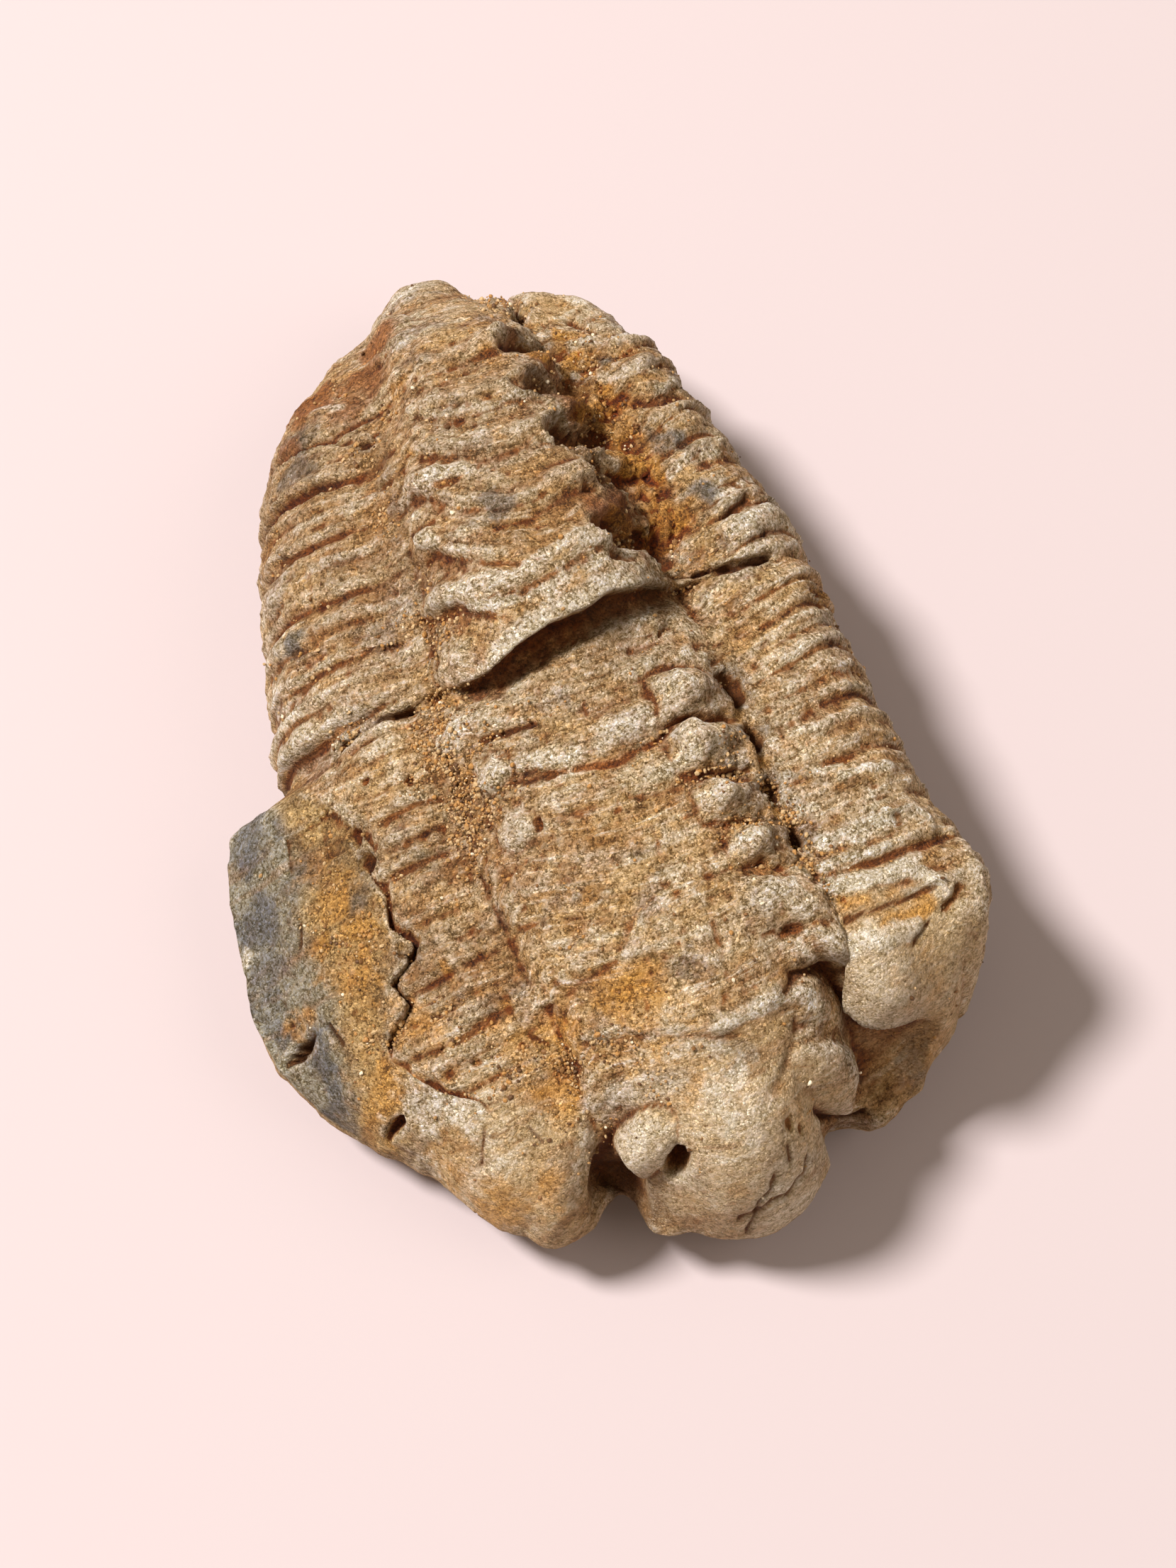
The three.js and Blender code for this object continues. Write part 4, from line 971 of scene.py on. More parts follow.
RUST = [
    (-3.0, 26.0, 2.0, 1.0), (-5.1, 23.8, 2.2, 0.9), (-8.1, 24.0, 2.2, 1.0), (-6.9, 21.5, 2.0, 0.8),
    (-10.9, 21.5, 1.8, 0.8), (4.5, 7.3, 1.4, 0.9), (6.2, 5.6, 1.6, 0.7), (5.2, 27.0, 1.2, 0.7),
    (6.0, 20.4, 1.4, 0.8), (5.2, 16.4, 1.2, 0.8), (4.0, 21.2, 1.3, 0.9), (5.2, 19.2, 1.3, 1.0),
    (5.6, 15.6, 1.3, 1.0), (6.2, 7.8, 1.4, 1.0),
]
SLATE = [
    (-13.9, 8.4, 0.9, 1.0), (-9.7, 21.7, 1.6, 0.8), (-10.2, 19.0, 1.6, 0.8), (-1.0, 9.1, 1.8, 0.8),
    (3.9, 19.3, 0.9, 0.4), (9.2, 19.4, 1.3, 0.9), (11.0, 12.6, 1.5, 1.0), (11.5, 8.9, 1.5, 1.0),
    (9.2, 9.2, 1.0, 0.9), (-13.9, 8.3, 1.5, 0.6), (-10.1, -8.4, 1.4, 0.5), (-10.7, 10.7, 1.3, 0.5),
    (-19.8, -1.3, 2.0, 0.8), (-20.7, -6.7, 2.2, 0.9), (-21.8, -9.3, 1.6, 0.8), (-17.3, -5.4, 1.8, 0.7),
    (-14.9, -8.3, 1.4, 0.6), (-19.5, -18.2, 1.6, 0.7), (-21.8, -11.8, 1.5, 0.7), (15.4, -17.9, 1.6, 0.5),
    (13.7, -17.5, 1.4, 0.5), (13.0, -26.9, 2.0, 0.6), (0.1, -12.8, 1.6, 0.5), (1.3, -19.7, 1.2, 0.6),
    (2.2, -24.8, 1.6, 0.6), (-3.8, -26.9, 1.2, 0.2),
]
# Pale crust, and painted highlights: on the lit tail ends of the +x knobs and a glint on the upper bead.
PALE_CRUST_AND_HIGHLIGHTS = [
    (-0.3, 29.6, 1.6, 0.6), (-7.6, 22.4, 0.9, 0.7), (-10.4, 8.5, 1.2, 0.6), (-12.9, 6.0, 1.3, 0.6),
    (-12.5, 2.0, 1.6, 0.7), (-15.1, 4.8, 1.2, 0.6), (15.6, -16.8, 1.4, 0.6), (6.8, -22.7, 1.0, 0.6),
    (16.0, -18.5, 1.3, 0.5), (-15.8, -20.0, 1.5, 0.7), (-14.5, -21.0, 1.5, 0.8), (-13.1, -22.2, 1.4, 0.7),
    (-5.5, -5.2, 1.2, 0.6), (-5.4, -8.9, 1.2, 0.6), (-5.9, -1.8, 1.2, 0.5), (7.0, -4.6, 1.3, 0.4),
    (7.0, -7.8, 1.2, 0.3), (-22.2, -7.6, 0.6, 1.0), (-3.9, -26.9, 1.5, 0.5), (1.6, -26.6, 2.4, 0.6),
    (-12.4, -24.4, 2.2, 0.4), (8.0, -25.6, 1.4, 0.5), (0.8, -17.4, 2.2, 0.3), (5.0, -6.9, 0.6, 0.7),
    (5.3, -10.6, 0.6, 0.7), (6.0, -13.9, 0.6, 0.8), (5.0, -4.2, 0.6, 0.6), (8.0, -17.4, 0.8, 0.6),
    (7.4, -20.2, 0.6, 0.6), (-4.4, 8.6, 0.8, 0.5), (-4.6, 11.0, 0.7, 0.5),
]
# Painted shade under the +x cheek, in the valley beside the front lobe and under the ledge, and darker stone
# and painted shade over wide parts of the flanks and the rear axis.
DARKER_TONE_AND_SHADE = [  # wide places where the whole stone is darker
    (-9.0, 18.0, 7.0, 0.9), (-10.0, 10.0, 6.0, 0.7), (-9.5, 3.0, 5.0, 0.6), (1.0, 18.0, 5.0, 0.7),
    (2.0, 10.0, 6.0, 0.8), (-9.0, -8.0, 5.5, 0.9), (-10.0, -14.0, 5.0, 0.8), (9.0, 16.0, 5.0, 0.7),
    (8.0, 8.0, 5.0, 0.8), (-16.0, -8.0, 7.0, 0.4), (-17.0, -16.0, 6.0, 0.4), (12.6, -26.8, 3.2, 1.0),
    (-6.6, -28.6, 3.0, 0.9), (-9.6, -29.4, 3.0, 0.3), (3.0, -1.0, 5.0, 0.4), (14.0, -23.4, 3.0, 0.3),
]
DARK_MUD_AND_SHADOW = [  # pockets painted dark: dark mud, and painted shadow in the pits, beside the knobs, in the valley and under the ledge
    (5.2, 21.2, 1.4, 0.9), (6.4, 21.8, 1.1, 0.9), (4.6, 17.1, 1.4, 0.9), (6.6, 17.8, 1.2, 1.0),
    (5.4, 13.2, 1.4, 0.9), (6.8, 13.8, 1.2, 0.9), (6.6, 10.0, 0.9, 0.8), (5.6, 6.0, 1.4, 0.8),
    (7.4, 5.8, 1.3, 1.0), (7.8, 4.6, 0.9, 0.8), (8.9, -4.2, 1.7, 1.0), (9.1, -7.4, 1.5, 1.0),
    (9.0, -10.8, 1.4, 1.0), (9.4, -13.9, 1.2, 0.9), (7.5, -4.9, 1.2, 0.7), (7.6, -8.0, 1.1, 0.8),
    (7.5, -11.4, 1.1, 0.8), (8.1, -14.4, 1.0, 0.7), (9.2, -20.3, 0.8, 0.8), (-5.6, -28.2, 1.4, 1.0),
    (-4.8, -29.8, 1.8, 1.0), (-6.0, -26.2, 1.0, 0.7), (-6.2, 18.2, 0.9, 0.9), (-6.1, 14.4, 0.8, 0.7),
    (-10.3, 17.3, 0.5, 0.9), (-6.0, 10.5, 0.9, 0.5), (-13.9, -6.6, 0.7, 0.9), (-13.0, -12.3, 0.9, 1.0),
    (3.0, 0.6, 2.4, 0.4), (7.0, 2.2, 1.3, 0.7), (-6.2, 16.2, 1.2, 0.45), (-6.1, 12.4, 1.1, 0.45),
    (-6.2, 8.6, 1.1, 0.45), (-6.3, 5.0, 1.1, 0.45), (-6.4, 2.8, 0.9, 0.4), (-20.6, -14.5, 0.8, 1.0),
    (4.2, 21.2, 1.0, 0.6), (5.2, 19.4, 1.0, 0.7), (5.5, 15.6, 1.0, 0.7), (6.4, 7.8, 1.0, 0.5),
]

PALE_LINES_AND_HIGHLIGHTS = [  # points, half width, strength
    ([(14.9, -17.2), (16.0, -16.7)], 0.4, 1.0), ([(9.5, -12.6), (11.2, -12.7)], 0.45, 0.8),
    ([(7.7, 21.2), (10.2, 20.9), (11.8, 20.9)], 0.6, 0.7),
    ([(7.3, 18.8), (9.2, 17.8), (11.7, 18.2)], 0.6, 0.7), ([(11.4, 16.2), (13.8, 17.6)], 0.5, 0.7),
    ([(10.2, 10.4), (11.6, 11.0), (13.4, 11.5)], 0.5, 0.7), ([(12.4, 7.6), (14.9, 9.3)], 0.5, 0.6),
    ([(7.9, 5.5), (9.6, 4.9)], 0.45, 0.7), ([(-2.0, 16.9), (1.5, 15.8), (3.7, 16.7)], 0.55, 0.7),
    ([(-3.3, 12.6), (1.2, 11.7), (3.5, 12.4)], 0.55, 0.7),
    ([(-4.1, 3.7), (-1.0, 2.8), (3.5, 4.0)], 0.6, 0.7),
    ([(-5.6, -5.2), (-0.3, -6.3), (3.3, -5.5)], 0.7, 0.6),
    ([(-6.0, -23.8), (-7.2, -25.5), (-8.4, -27.4)], 0.8, 0.5),
    ([(-1.4, -23.8), (1.6, -23.6), (5.5, -22.5)], 0.7, 0.6),
    ([(6.2, 27.6), (7.6, 26.6), (9.8, 24.8)], 0.6, 0.5),
    ([(-11.5, 15.1), (-9.4, 14.6), (-7.3, 14.0)], 0.5, 0.6),
    ([(-11.7, 11.9), (-9.8, 11.5), (-7.7, 11.1)], 0.5, 0.6),
    ([(-11.5, 8.0), (-9.5, 7.6), (-7.8, 7.2)], 0.45, 0.5),
    ([(-12.4, 4.2), (-10.0, 3.9), (-8.0, 3.6)], 0.5, 0.5), ([(-10.6, 18.4), (-8.4, 17.8)], 0.4, 0.5),
    ([(-5.6, 5.6), (-1.3, 4.1), (2.9, 5.4)], 0.6, 0.6),
    ([(-5.2, -21.1), (-3.6, -21.5), (-2.1, -22.4), (0.0, -23.0)], 0.5, 0.5),
    # a painted glint on the upper bead beside the front lobe
    ([(6.9, -22.5), (6.8, -23.2)], 0.35, 1.0),
]
PALE_LINES_AND_HIGHLIGHTS += [(row[0], *row[3:]) for row in RUBBED_CREASES]
OCHRE_LINES = [
    ([(10.8, -18.3), (12.3, -18.8)], 0.5, 1.0), ([(12.9, -20.2), (14.7, -20.1), (15.5, -19.5)], 0.7, 1.0),
    ([(10.0, -13.6), (12.4, -13.6)], 0.6, 0.5), ([(10.2, -11.4), (12.2, -11.5)], 0.6, 0.5),
    ([(9.8, -8.6), (12.0, -8.6)], 0.6, 0.5), ([(8.4, 19.9), (11.0, 19.5)], 0.6, 0.6),
]

# %% Brushes and masks
def painted_lines(lines):
    """Stains along lines, with slightly frayed edges."""
    frayed_x, frayed_y = x + 0.3 * noise(top, 0.9, 35), y + 0.3 * noise(top, 0.9, 36)
    total = np.zeros_like(x)
    for line, half_width, strength in lines:
        far = from_line(frayed_x, frayed_y, line)[0] / half_width
        total = np.maximum(total, strength * fade(0.3, 1.3, far))
    return total


def brush(spots):
    """Soft round spots whose edges are frayed by noise."""
    frayed_x, frayed_y = x + 0.9 * noise(top, 1.3, 22), y + 0.9 * noise(top, 1.3, 23)
    total = np.zeros_like(x)
    for centre_x, centre_y, radius, strength in spots:
        far = np.hypot(frayed_x - centre_x, frayed_y - centre_y) / radius
        total = np.maximum(total, strength * fade(0.3, 1.35, far))
    return total


WIDEST_DARK_CRACK = 0.23  # half width: wider ones are open enough to be dark by themselves
RIB_STRETCH = 0.12  # the shader's streaks are this much finer across the ribs than along them
HEIGHT_STRETCH = 0.3

# A pale band along the ledge's lip: partly a painted highlight where the lip catches the light.
lip = smooth(-0.1, 0.4, behind_ledge(x, y)) * fade(0.8, 2.0, behind_ledge(x, y)) * ledge_share(x)
head_polish = lump(x, y, [(1.5, -28.5, 7, 5, 1), (13.8, -21.5, 6, 5, 1), (-9.8, -26, 4.5, 4.5, 0.8)], 0.6)
level = level_at(x, y) + 0.25 * noise(top, 3.0, 27)
along_rib = mix(ring_level(x, y), level, smooth(-1.5, 0.5, outside_axis(x, y)))
streaks = 0.65 * streak(x, along_rib, 6.0, 0.7, 2) + 0.5 * streak(x, along_rib, 2.8, 0.36, 3)
# The narrow cracks get painted shade along them, as the mesh is too coarse to shadow them.
fine_cracks = [(line, 0.9 * width, -1) for line, width, _ in CRACKS if width < WIDEST_DARK_CRACK]
slab_share = on_plate(x, y)
outer = smooth(-17.2, -18.9, x + 1.1 * noise(top, 3.5, 26)) * smooth(-20.5, -17.5, y)
masks = {
    "crest_fine": 0.5 + 0.5 * crest_fine,
    "crest_middle": 0.5 + 0.5 * crest_middle,
    "ochre": np.maximum(brush(OCHRE), painted_lines(OCHRE_LINES)),
    "rust": brush(RUST),
    "slate": brush(SLATE),
    "pale_crust_and_highlight": np.maximum(np.maximum(brush(PALE_CRUST_AND_HIGHLIGHTS), painted_lines(PALE_LINES_AND_HIGHLIGHTS)), 0.7 * lip),
    "streak": 0.5 + 0.5 * clamp(streaks, -1, 1),
    "crack": clamp(sum(groove(x, y, *crack) for crack in fine_cracks)),
    "slab": slab_share,
    "slab_outer": slab_share * outer,
    "polish": clamp(head_polish),
    "wear": clamp(wear(x, y) / 1.6 + 0.3 * slab_share),
    "darker_tone_and_shade": brush(DARKER_TONE_AND_SHADE),
    "mud_and_painted_shadow": brush(DARK_MUD_AND_SHADOW),
}
rib_place = np.stack([RIB_STRETCH * x, along_rib, HEIGHT_STRETCH * top[..., 2]], -1)

# %% [markdown]
# ## From arrays to a mesh
#
# The whole stone is one object. `from_pydata` would build it too, but it needs Python lists. The arrays can
# be handed over as they are with `foreach_set`, which is much faster for so many points.

# %% Make the stone
CENTRE_SHIFT = np.array([0.77, 0.41, 0.0])  # from the fossil's own frame to the middle of the stone


def mesh_object(name, vertices, corner_lists, smooth_faces=True):
    mesh = bpy.data.meshes.new(name)
    corners = np.concatenate([np.asarray(part).reshape(-1) for part in corner_lists])
    sizes = np.concatenate([np.full(len(part), np.shape(part)[1]) for part in corner_lists])
    mesh.vertices.add(len(vertices))
    mesh.vertices.foreach_set("co", (vertices * MM).reshape(-1))
    mesh.loops.add(len(corners))
    mesh.loops.foreach_set("vertex_index", corners)
    mesh.polygons.add(len(sizes))
    mesh.polygons.foreach_set("loop_start", np.concatenate([[0], np.cumsum(sizes)[:-1]]))
    mesh.polygons.foreach_set("use_smooth", np.full(len(sizes), smooth_faces))
    mesh.update(calc_edges=True)
    mesh.validate()
    made = bpy.data.objects.new(name, mesh)
    bpy.context.scene.collection.objects.link(made)
    return made


stone = mesh_object("fossil_stone", points + CENTRE_SHIFT, faces + [closing])
for name, values in masks.items():
    below_rim = 0.5 if name.startswith("crest") or name in ("streak", "wear") else 0.0
    filled = np.full(len(points), below_rim)
    filled[: values.size] = values.reshape(-1)
    stone.data.attributes.new(name, "FLOAT", "POINT").data.foreach_set("value", filled)
filled = points * [RIB_STRETCH, 1, 1]
filled[: along_rib.size] = rib_place.reshape(-1, 3)
rib_attribute = stone.data.attributes.new("rib_place", "FLOAT_VECTOR", "POINT")
rib_attribute.data.foreach_set("vector", (filled * MM).reshape(-1))
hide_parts("trilobite_fossil")
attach(stone, "root")
print("stone, mm:", [round(1000 * size, 2) for size in stone.dimensions])

# %% [markdown]
# ## Loose grit
#
# Tiny grains of the parting mud still sit in the furrows and beside the axis. A bump texture can't give
# them, because each one throws its own little shadow. They're real meshes: an icosahedron is a good
# blank for a grain once it is squashed and turned at random. All of them are joined into one object, which
# Blender handles far better than thousands of objects. Their places are drawn from the stone's own points,
# so each grain sits partly sunk in the surface, and a density says where they gather.

# %% Scatter the grit
random = np.random.default_rng(23)
GRIT_PATCHES = [  # x, y, radius, strength
    (-7.2, -1.8, 2.2, 1.0), (-7.0, -4.3, 1.8, 1.0), (-7.0, -6.6, 2.0, 0.9), (-8.0, -8.2, 1.8, 0.7),
    (-9.4, -4.9, 1.6, 0.6), (-9.6, -1.5, 2.0, 0.6), (-4.0, -22.2, 3.0, 0.7), (-7.8, -21.0, 2.4, 0.7),
    (7.6, -6.2, 2.2, 0.9), (7.8, -9.6, 2.2, 0.9), (8.0, -12.8, 2.2, 0.8), (8.6, -16.0, 2.0, 0.6),
    (6.8, 6.0, 2.4, 0.5), (6.6, 11.0, 2.2, 0.5), (6.2, 15.0, 2.4, 0.5), (6.6, 20.4, 2.4, 0.4),
    (-6.0, 17.6, 2.4, 0.5), (-6.6, 11.5, 2.4, 0.5), (-6.8, 4.5, 2.4, 0.6), (5.4, 26.4, 1.8, 0.6),
    (-16.0, -9.0, 3.0, 0.5), (-15.0, -16.5, 2.6, 0.6), (-1.8, -28.2, 1.0, 0.8), (-13.0, 2.4, 2.6, 0.5),
]
GRAIN_COUNT = 5200
GRAIN_SIZE = (0.06, 0.15)  # radius, mm
SIZE_CLASSES, CLASS_SHARES = [0.7, 1.0, 1.35], [0.4, 0.45, 0.15]
LOWEST_GRAIN = 9  # mm: no grit lies on the steep sides below this
GRAIN_LIFT = 0.25  # of its radius, from its middle to the surface


def icosahedron():
    """Twelve corners at a distance of 1, and the twenty triangles between neighbours, facing out."""
    golden = (1 + math.sqrt(5)) / 2
    corners = np.array([(a, b * golden, 0) for a in (-1, 1) for b in (-1, 1)], float)
    corners = np.concatenate([corners, np.roll(corners, 1, axis=1), np.roll(corners, 2, axis=1)])
    apart = np.linalg.norm(corners[:, None] - corners, axis=-1)
    triangles = []
    for a, b, c in combinations(range(12), 3):
        if max(apart[a, b], apart[b, c], apart[a, c]) < 2.01:  # neighbouring corners are 2 apart
            outward = np.linalg.det(corners[[a, b, c]]) > 0
            triangles.append((a, b, c) if outward else (a, c, b))
    return corners / np.linalg.norm(corners[0]), np.array(triangles)


def turned(shapes):
    """Turns each shape by a random unit quaternion."""
    quaternions = random.normal(size=(4, len(shapes)))
    w, i, j, k = (quaternions / np.linalg.norm(quaternions, axis=0))[..., None]
    axes = np.stack([i, j, k], -1)
    return shapes + 2 * np.cross(axes, np.cross(axes, shapes) + w[..., None] * shapes)


density = 0.035 + sum(
    strength * np.exp(-(((x - patch_x) ** 2 + (y - patch_y) ** 2) / radius**2))
    for patch_x, patch_y, radius, strength in GRIT_PATCHES
)
density = density * (0.25 + smooth(0.2, -0.5, crest_middle)) * smooth(-0.2, 0.5, noise(top, 2.0, 25))
density = (density * (top[..., 2] > LOWEST_GRAIN)).reshape(-1)
places = random.choice(density.size, GRAIN_COUNT, p=density / density.sum())
grain_size = random.uniform(*GRAIN_SIZE, GRAIN_COUNT)
grain_size = grain_size * random.choice(SIZE_CLASSES, GRAIN_COUNT, p=CLASS_SHARES)
blank, blank_faces = icosahedron()
stretch = random.uniform(0.55, 1.2, (GRAIN_COUNT, 1, 3))
lumpy = random.uniform(0.8, 1.15, (GRAIN_COUNT, 12, 1))
shapes = turned(blank * stretch * lumpy) * grain_size[:, None, None]
surface_normals = normals_of(top).reshape(-1, 3)[places]
jitter = random.normal(0, 0.06, (GRAIN_COUNT, 3)) * [1, 1, 0]
centres = top.reshape(-1, 3)[places] + surface_normals * (GRAIN_LIFT * grain_size)[:, None] + jitter
grain_points = (centres[:, None] + shapes).reshape(-1, 3)
grain_faces = (blank_faces[None] + 12 * np.arange(GRAIN_COUNT)[:, None, None]).reshape(-1, 3)
grit = mesh_object("grit", grain_points + CENTRE_SHIFT, [grain_faces], smooth_faces=False)
tone = np.repeat(random.uniform(0, 1, GRAIN_COUNT), 12)
grit.data.attributes.new("tone", "FLOAT", "POINT").data.foreach_set("value", tone)
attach(grit, "root")
print("grit:", GRAIN_COUNT, "grains,", len(grain_faces), "triangles")

# %% [markdown]
# ## Shader helpers
#
# A node tree written out link by link is hard to read. These helpers place one node each and take either a
# number or another node's output for every input. So a material reads like a formula.

# %% Node helpers
def colour(red, green, blue):
    """A display colour, 0 to 255, in the linear values that Blender works with."""
    shares = (value / 255 for value in (red, green, blue))
    return (*(s / 12.92 if s <= 0.04 else ((s + 0.055) / 1.055) ** 2.4 for s in shares), 1.0)


def put(tree, socket, value):
    if isinstance(value, bpy.types.NodeSocket):
        tree.links.new(value, socket)
    else:
        socket.default_value = value


def add_node(tree, kind, inputs=(), **settings):
    made = tree.nodes.new(kind)
    for key, value in settings.items():
        setattr(made, key, value)
    for key, value in dict(inputs).items():
        put(tree, made.inputs[key], value)
    return made


def maths(tree, operation, *values):
    return add_node(tree, "ShaderNodeMath", dict(enumerate(values)), operation=operation).outputs[0]


def blend(tree, factor, first, second, how="MIX"):
    inputs = {0: factor, 6: first, 7: second}
    return add_node(tree, "ShaderNodeMix", inputs, data_type="RGBA", blend_type=how).outputs[2]


def window(tree, value, start, end, to_low=0.0, to_high=1.0):
    """Rescales start..end to to_low..to_high, with soft ends."""
    inputs = {0: value, 1: start, 2: end, 3: to_low, 4: to_high}
    return add_node(tree, "ShaderNodeMapRange", inputs, interpolation_type="SMOOTHSTEP").outputs[0]


def noise_node(tree, vector, size_mm, detail=3.0, roughness=0.55):
    inputs = {"Vector": vector, "Scale": 1 / (size_mm * MM), "Detail": detail, "Roughness": roughness}
    return add_node(tree, "ShaderNodeTexNoise", inputs).outputs[0]


def attribute(tree, name):
    return add_node(tree, "ShaderNodeAttribute", attribute_name=name).outputs["Fac"]


def new_group(name, inputs, outputs):
    """An empty node group. Inputs and outputs are (name, kind, default value)."""
    tree = bpy.data.node_groups.new(name, "ShaderNodeTree")
    for in_out, sockets in (("INPUT", inputs), ("OUTPUT", outputs)):
        for label, kind, default in sockets:
            socket = tree.interface.new_socket(label, in_out=in_out, socket_type="NodeSocket" + kind)
            if default is not None:
                socket.default_value = default
    return tree, tree.nodes.new("NodeGroupInput").outputs, tree.nodes.new("NodeGroupOutput").inputs


def use_group(tree, group, inputs):
    made = add_node(tree, "ShaderNodeGroup", node_tree=group)
    for key, value in inputs.items():
        put(tree, made.inputs[key], value)
    return made.outputs


# %% [markdown]
# ## Two shared effects
#
# **Sand grain** is the finest thing to see on the stone: every fraction of a millimetre has its own tone. A
# Voronoi texture gives each cell one random colour, which is just that. Two sizes of cells together look
# like sand, and the same cells give a height for the bump, so tone and relief agree.
#
# **Frayed edge** takes one of the painted masks and eats into its border with noise, so that a stain ends
# the way a real one does, in specks and tongues.

# %% Node groups for grain and frayed stains
grain_group, given, results = new_group(
    "Sand grain",
    [("Vector", "Vector", None), ("Grains per metre", "Float", 4000.0)],
    [("Tone", "Float", None), ("Height", "Float", None)],
)
cells = add_node(
    grain_group, "ShaderNodeTexVoronoi",
    {"Vector": given["Vector"], "Scale": given["Grains per metre"], "Randomness": 1.0},
)
cell_tone = add_node(grain_group, "ShaderNodeSeparateColor", {0: cells.outputs["Color"]}).outputs[0]
put(grain_group, results["Tone"], cell_tone)
dome = maths(grain_group, "SUBTRACT", 1.0, cells.outputs["Distance"])
cell_height = maths(grain_group, "ADD", cell_tone, 0.5)
put(grain_group, results["Height"], maths(grain_group, "MULTIPLY", dome, cell_height))

fray_group, given, results = new_group(
    "Frayed edge",
    [("Vector", "Vector", None), ("Mask", "Float", 0.0), ("Fray scale", "Float", 900.0)],
    [("Mask", "Float", None)],
)
wisps = add_node(
    fray_group, "ShaderNodeTexNoise",
    {"Vector": given["Vector"], "Scale": given["Fray scale"], "Detail": 5.0, "Roughness": 0.68},
).outputs[0]
moved = maths(fray_group, "ADD", given["Mask"], maths(fray_group, "MULTIPLY_ADD", wisps, 1.5, -0.75))
near_mask = window(fray_group, given["Mask"], 0.0, 0.25)
frayed = maths(fray_group, "MULTIPLY", window(fray_group, moved, 0.25, 0.75), near_mask)
put(fray_group, results["Mask"], frayed)

# %% [markdown]
# ## The mudstone
#
# The base is a patchwork of tan and grey-beige, with colours of its own for the slab. Over it come, in this
# order: the places polished by handling, dark and pale streaks along the ribs, the rubbed crests, and the
# stains of slate, rust, ochre and pale crust, with painted highlights among the pale marks. Then the hollows
# are multiplied by the colour of dirt, which also paints their shade, wide places are darkened by painted
# shade and darker stone, and a fine shade of grains, lines and crumbs is multiplied over everything. The last
# layers are bright ochre in coarse places, partly painted light, dark mud and painted shadow in the deep
# pockets, and painted shade in the cracks. The stone is dull, and only a little smoother where it is
# polished.

# %% The stone's material
def new_material(name):
    made = bpy.data.materials.new(name)
    made.use_nodes = True
    tree = made.node_tree
    shader = tree.nodes["Principled BSDF"]
    place = tree.nodes.new("ShaderNodeTexCoord").outputs["Object"]
    return made, tree, shader, place


FINE_GRAIN, COARSE_GRAIN = 0.15, 0.38  # mm
LINE_WIDTH = 0.035  # of the noise's range, for the thin lines where it crosses a value
BUMP_DEPTH = 0.2  # mm

mudstone, tree, shader, place = new_material("mudstone")
fine, coarse = (
    use_group(tree, grain_group, {"Vector": place, "Grains per metre": 1 / (size * MM)})
    for size in (FINE_GRAIN, COARSE_GRAIN)
)
mask = {name: attribute(tree, name) for name in masks}
stain = {
    name: use_group(tree, fray_group, {"Vector": place, "Mask": mask[name]})[0]
    for name in ("ochre", "rust", "slate", "pale_crust_and_highlight")
}
off_slab = maths(tree, "SUBTRACT", 1.0, mask["slab"])
rib_space = add_node(tree, "ShaderNodeAttribute", attribute_name="rib_place").outputs["Vector"]
fine_streak = noise_node(tree, rib_space, 0.5, 5.0, 0.7)
squiggle = noise_node(tree, place, 0.42, 5.0, 0.7)
crumbs = noise_node(tree, place, 0.5, 4.0, 0.75)


def field(size_mm, start, end, strength):
    """Patches of one size: none below `start` of the noise, full strength above `end`."""
    return window(tree, noise_node(tree, place, size_mm, 5.0, 0.6), start, end, 0.0, strength)


def times(*factors):
    product = factors[0]
    for factor in factors[1:]:
        product = maths(tree, "MULTIPLY", product, factor)
    return product


def add_part(total, part, weight):
    return maths(tree, "MULTIPLY_ADD", part, weight, total)


def line_at(value):
    """Thin lines where the squiggle noise crosses a value."""
    away = maths(tree, "ABSOLUTE", maths(tree, "SUBTRACT", squiggle, value))
    return window(tree, away, 0.0, LINE_WIDTH, 1.0, 0.0)


def cover(under, layers, how="MIX"):
    """Lays one colour after another over `under`. Each layer is a factor and a display colour."""
    for factor, tint in layers:
        under = blend(tree, factor, under, colour(*tint), how)
    return under


base = cover(colour(212, 172, 116), [
    (field(8.0, 0.42, 0.58, 0.8), (200, 170, 130)),
    (field(3.2, 0.5, 0.62, 0.55), (226, 206, 170)),
    (field(2.0, 0.5, 0.62, 0.5), (208, 154, 82)),
    (field(4.6, 0.52, 0.64, 0.6), (176, 122, 60)),
    (field(3.8, 0.55, 0.66, 0.5), (166, 152, 138)),
])
slab_inner = cover(colour(204, 166, 106), [(field(3.0, 0.46, 0.6, 0.8), (146, 112, 68))])
slab_outer = cover(colour(166, 154, 128), [(field(3.2, 0.46, 0.6, 0.85), (110, 106, 102))])
slab_base = blend(tree, mask["slab_outer"], slab_inner, slab_outer)
base = blend(tree, mask["slab"], base, slab_base)

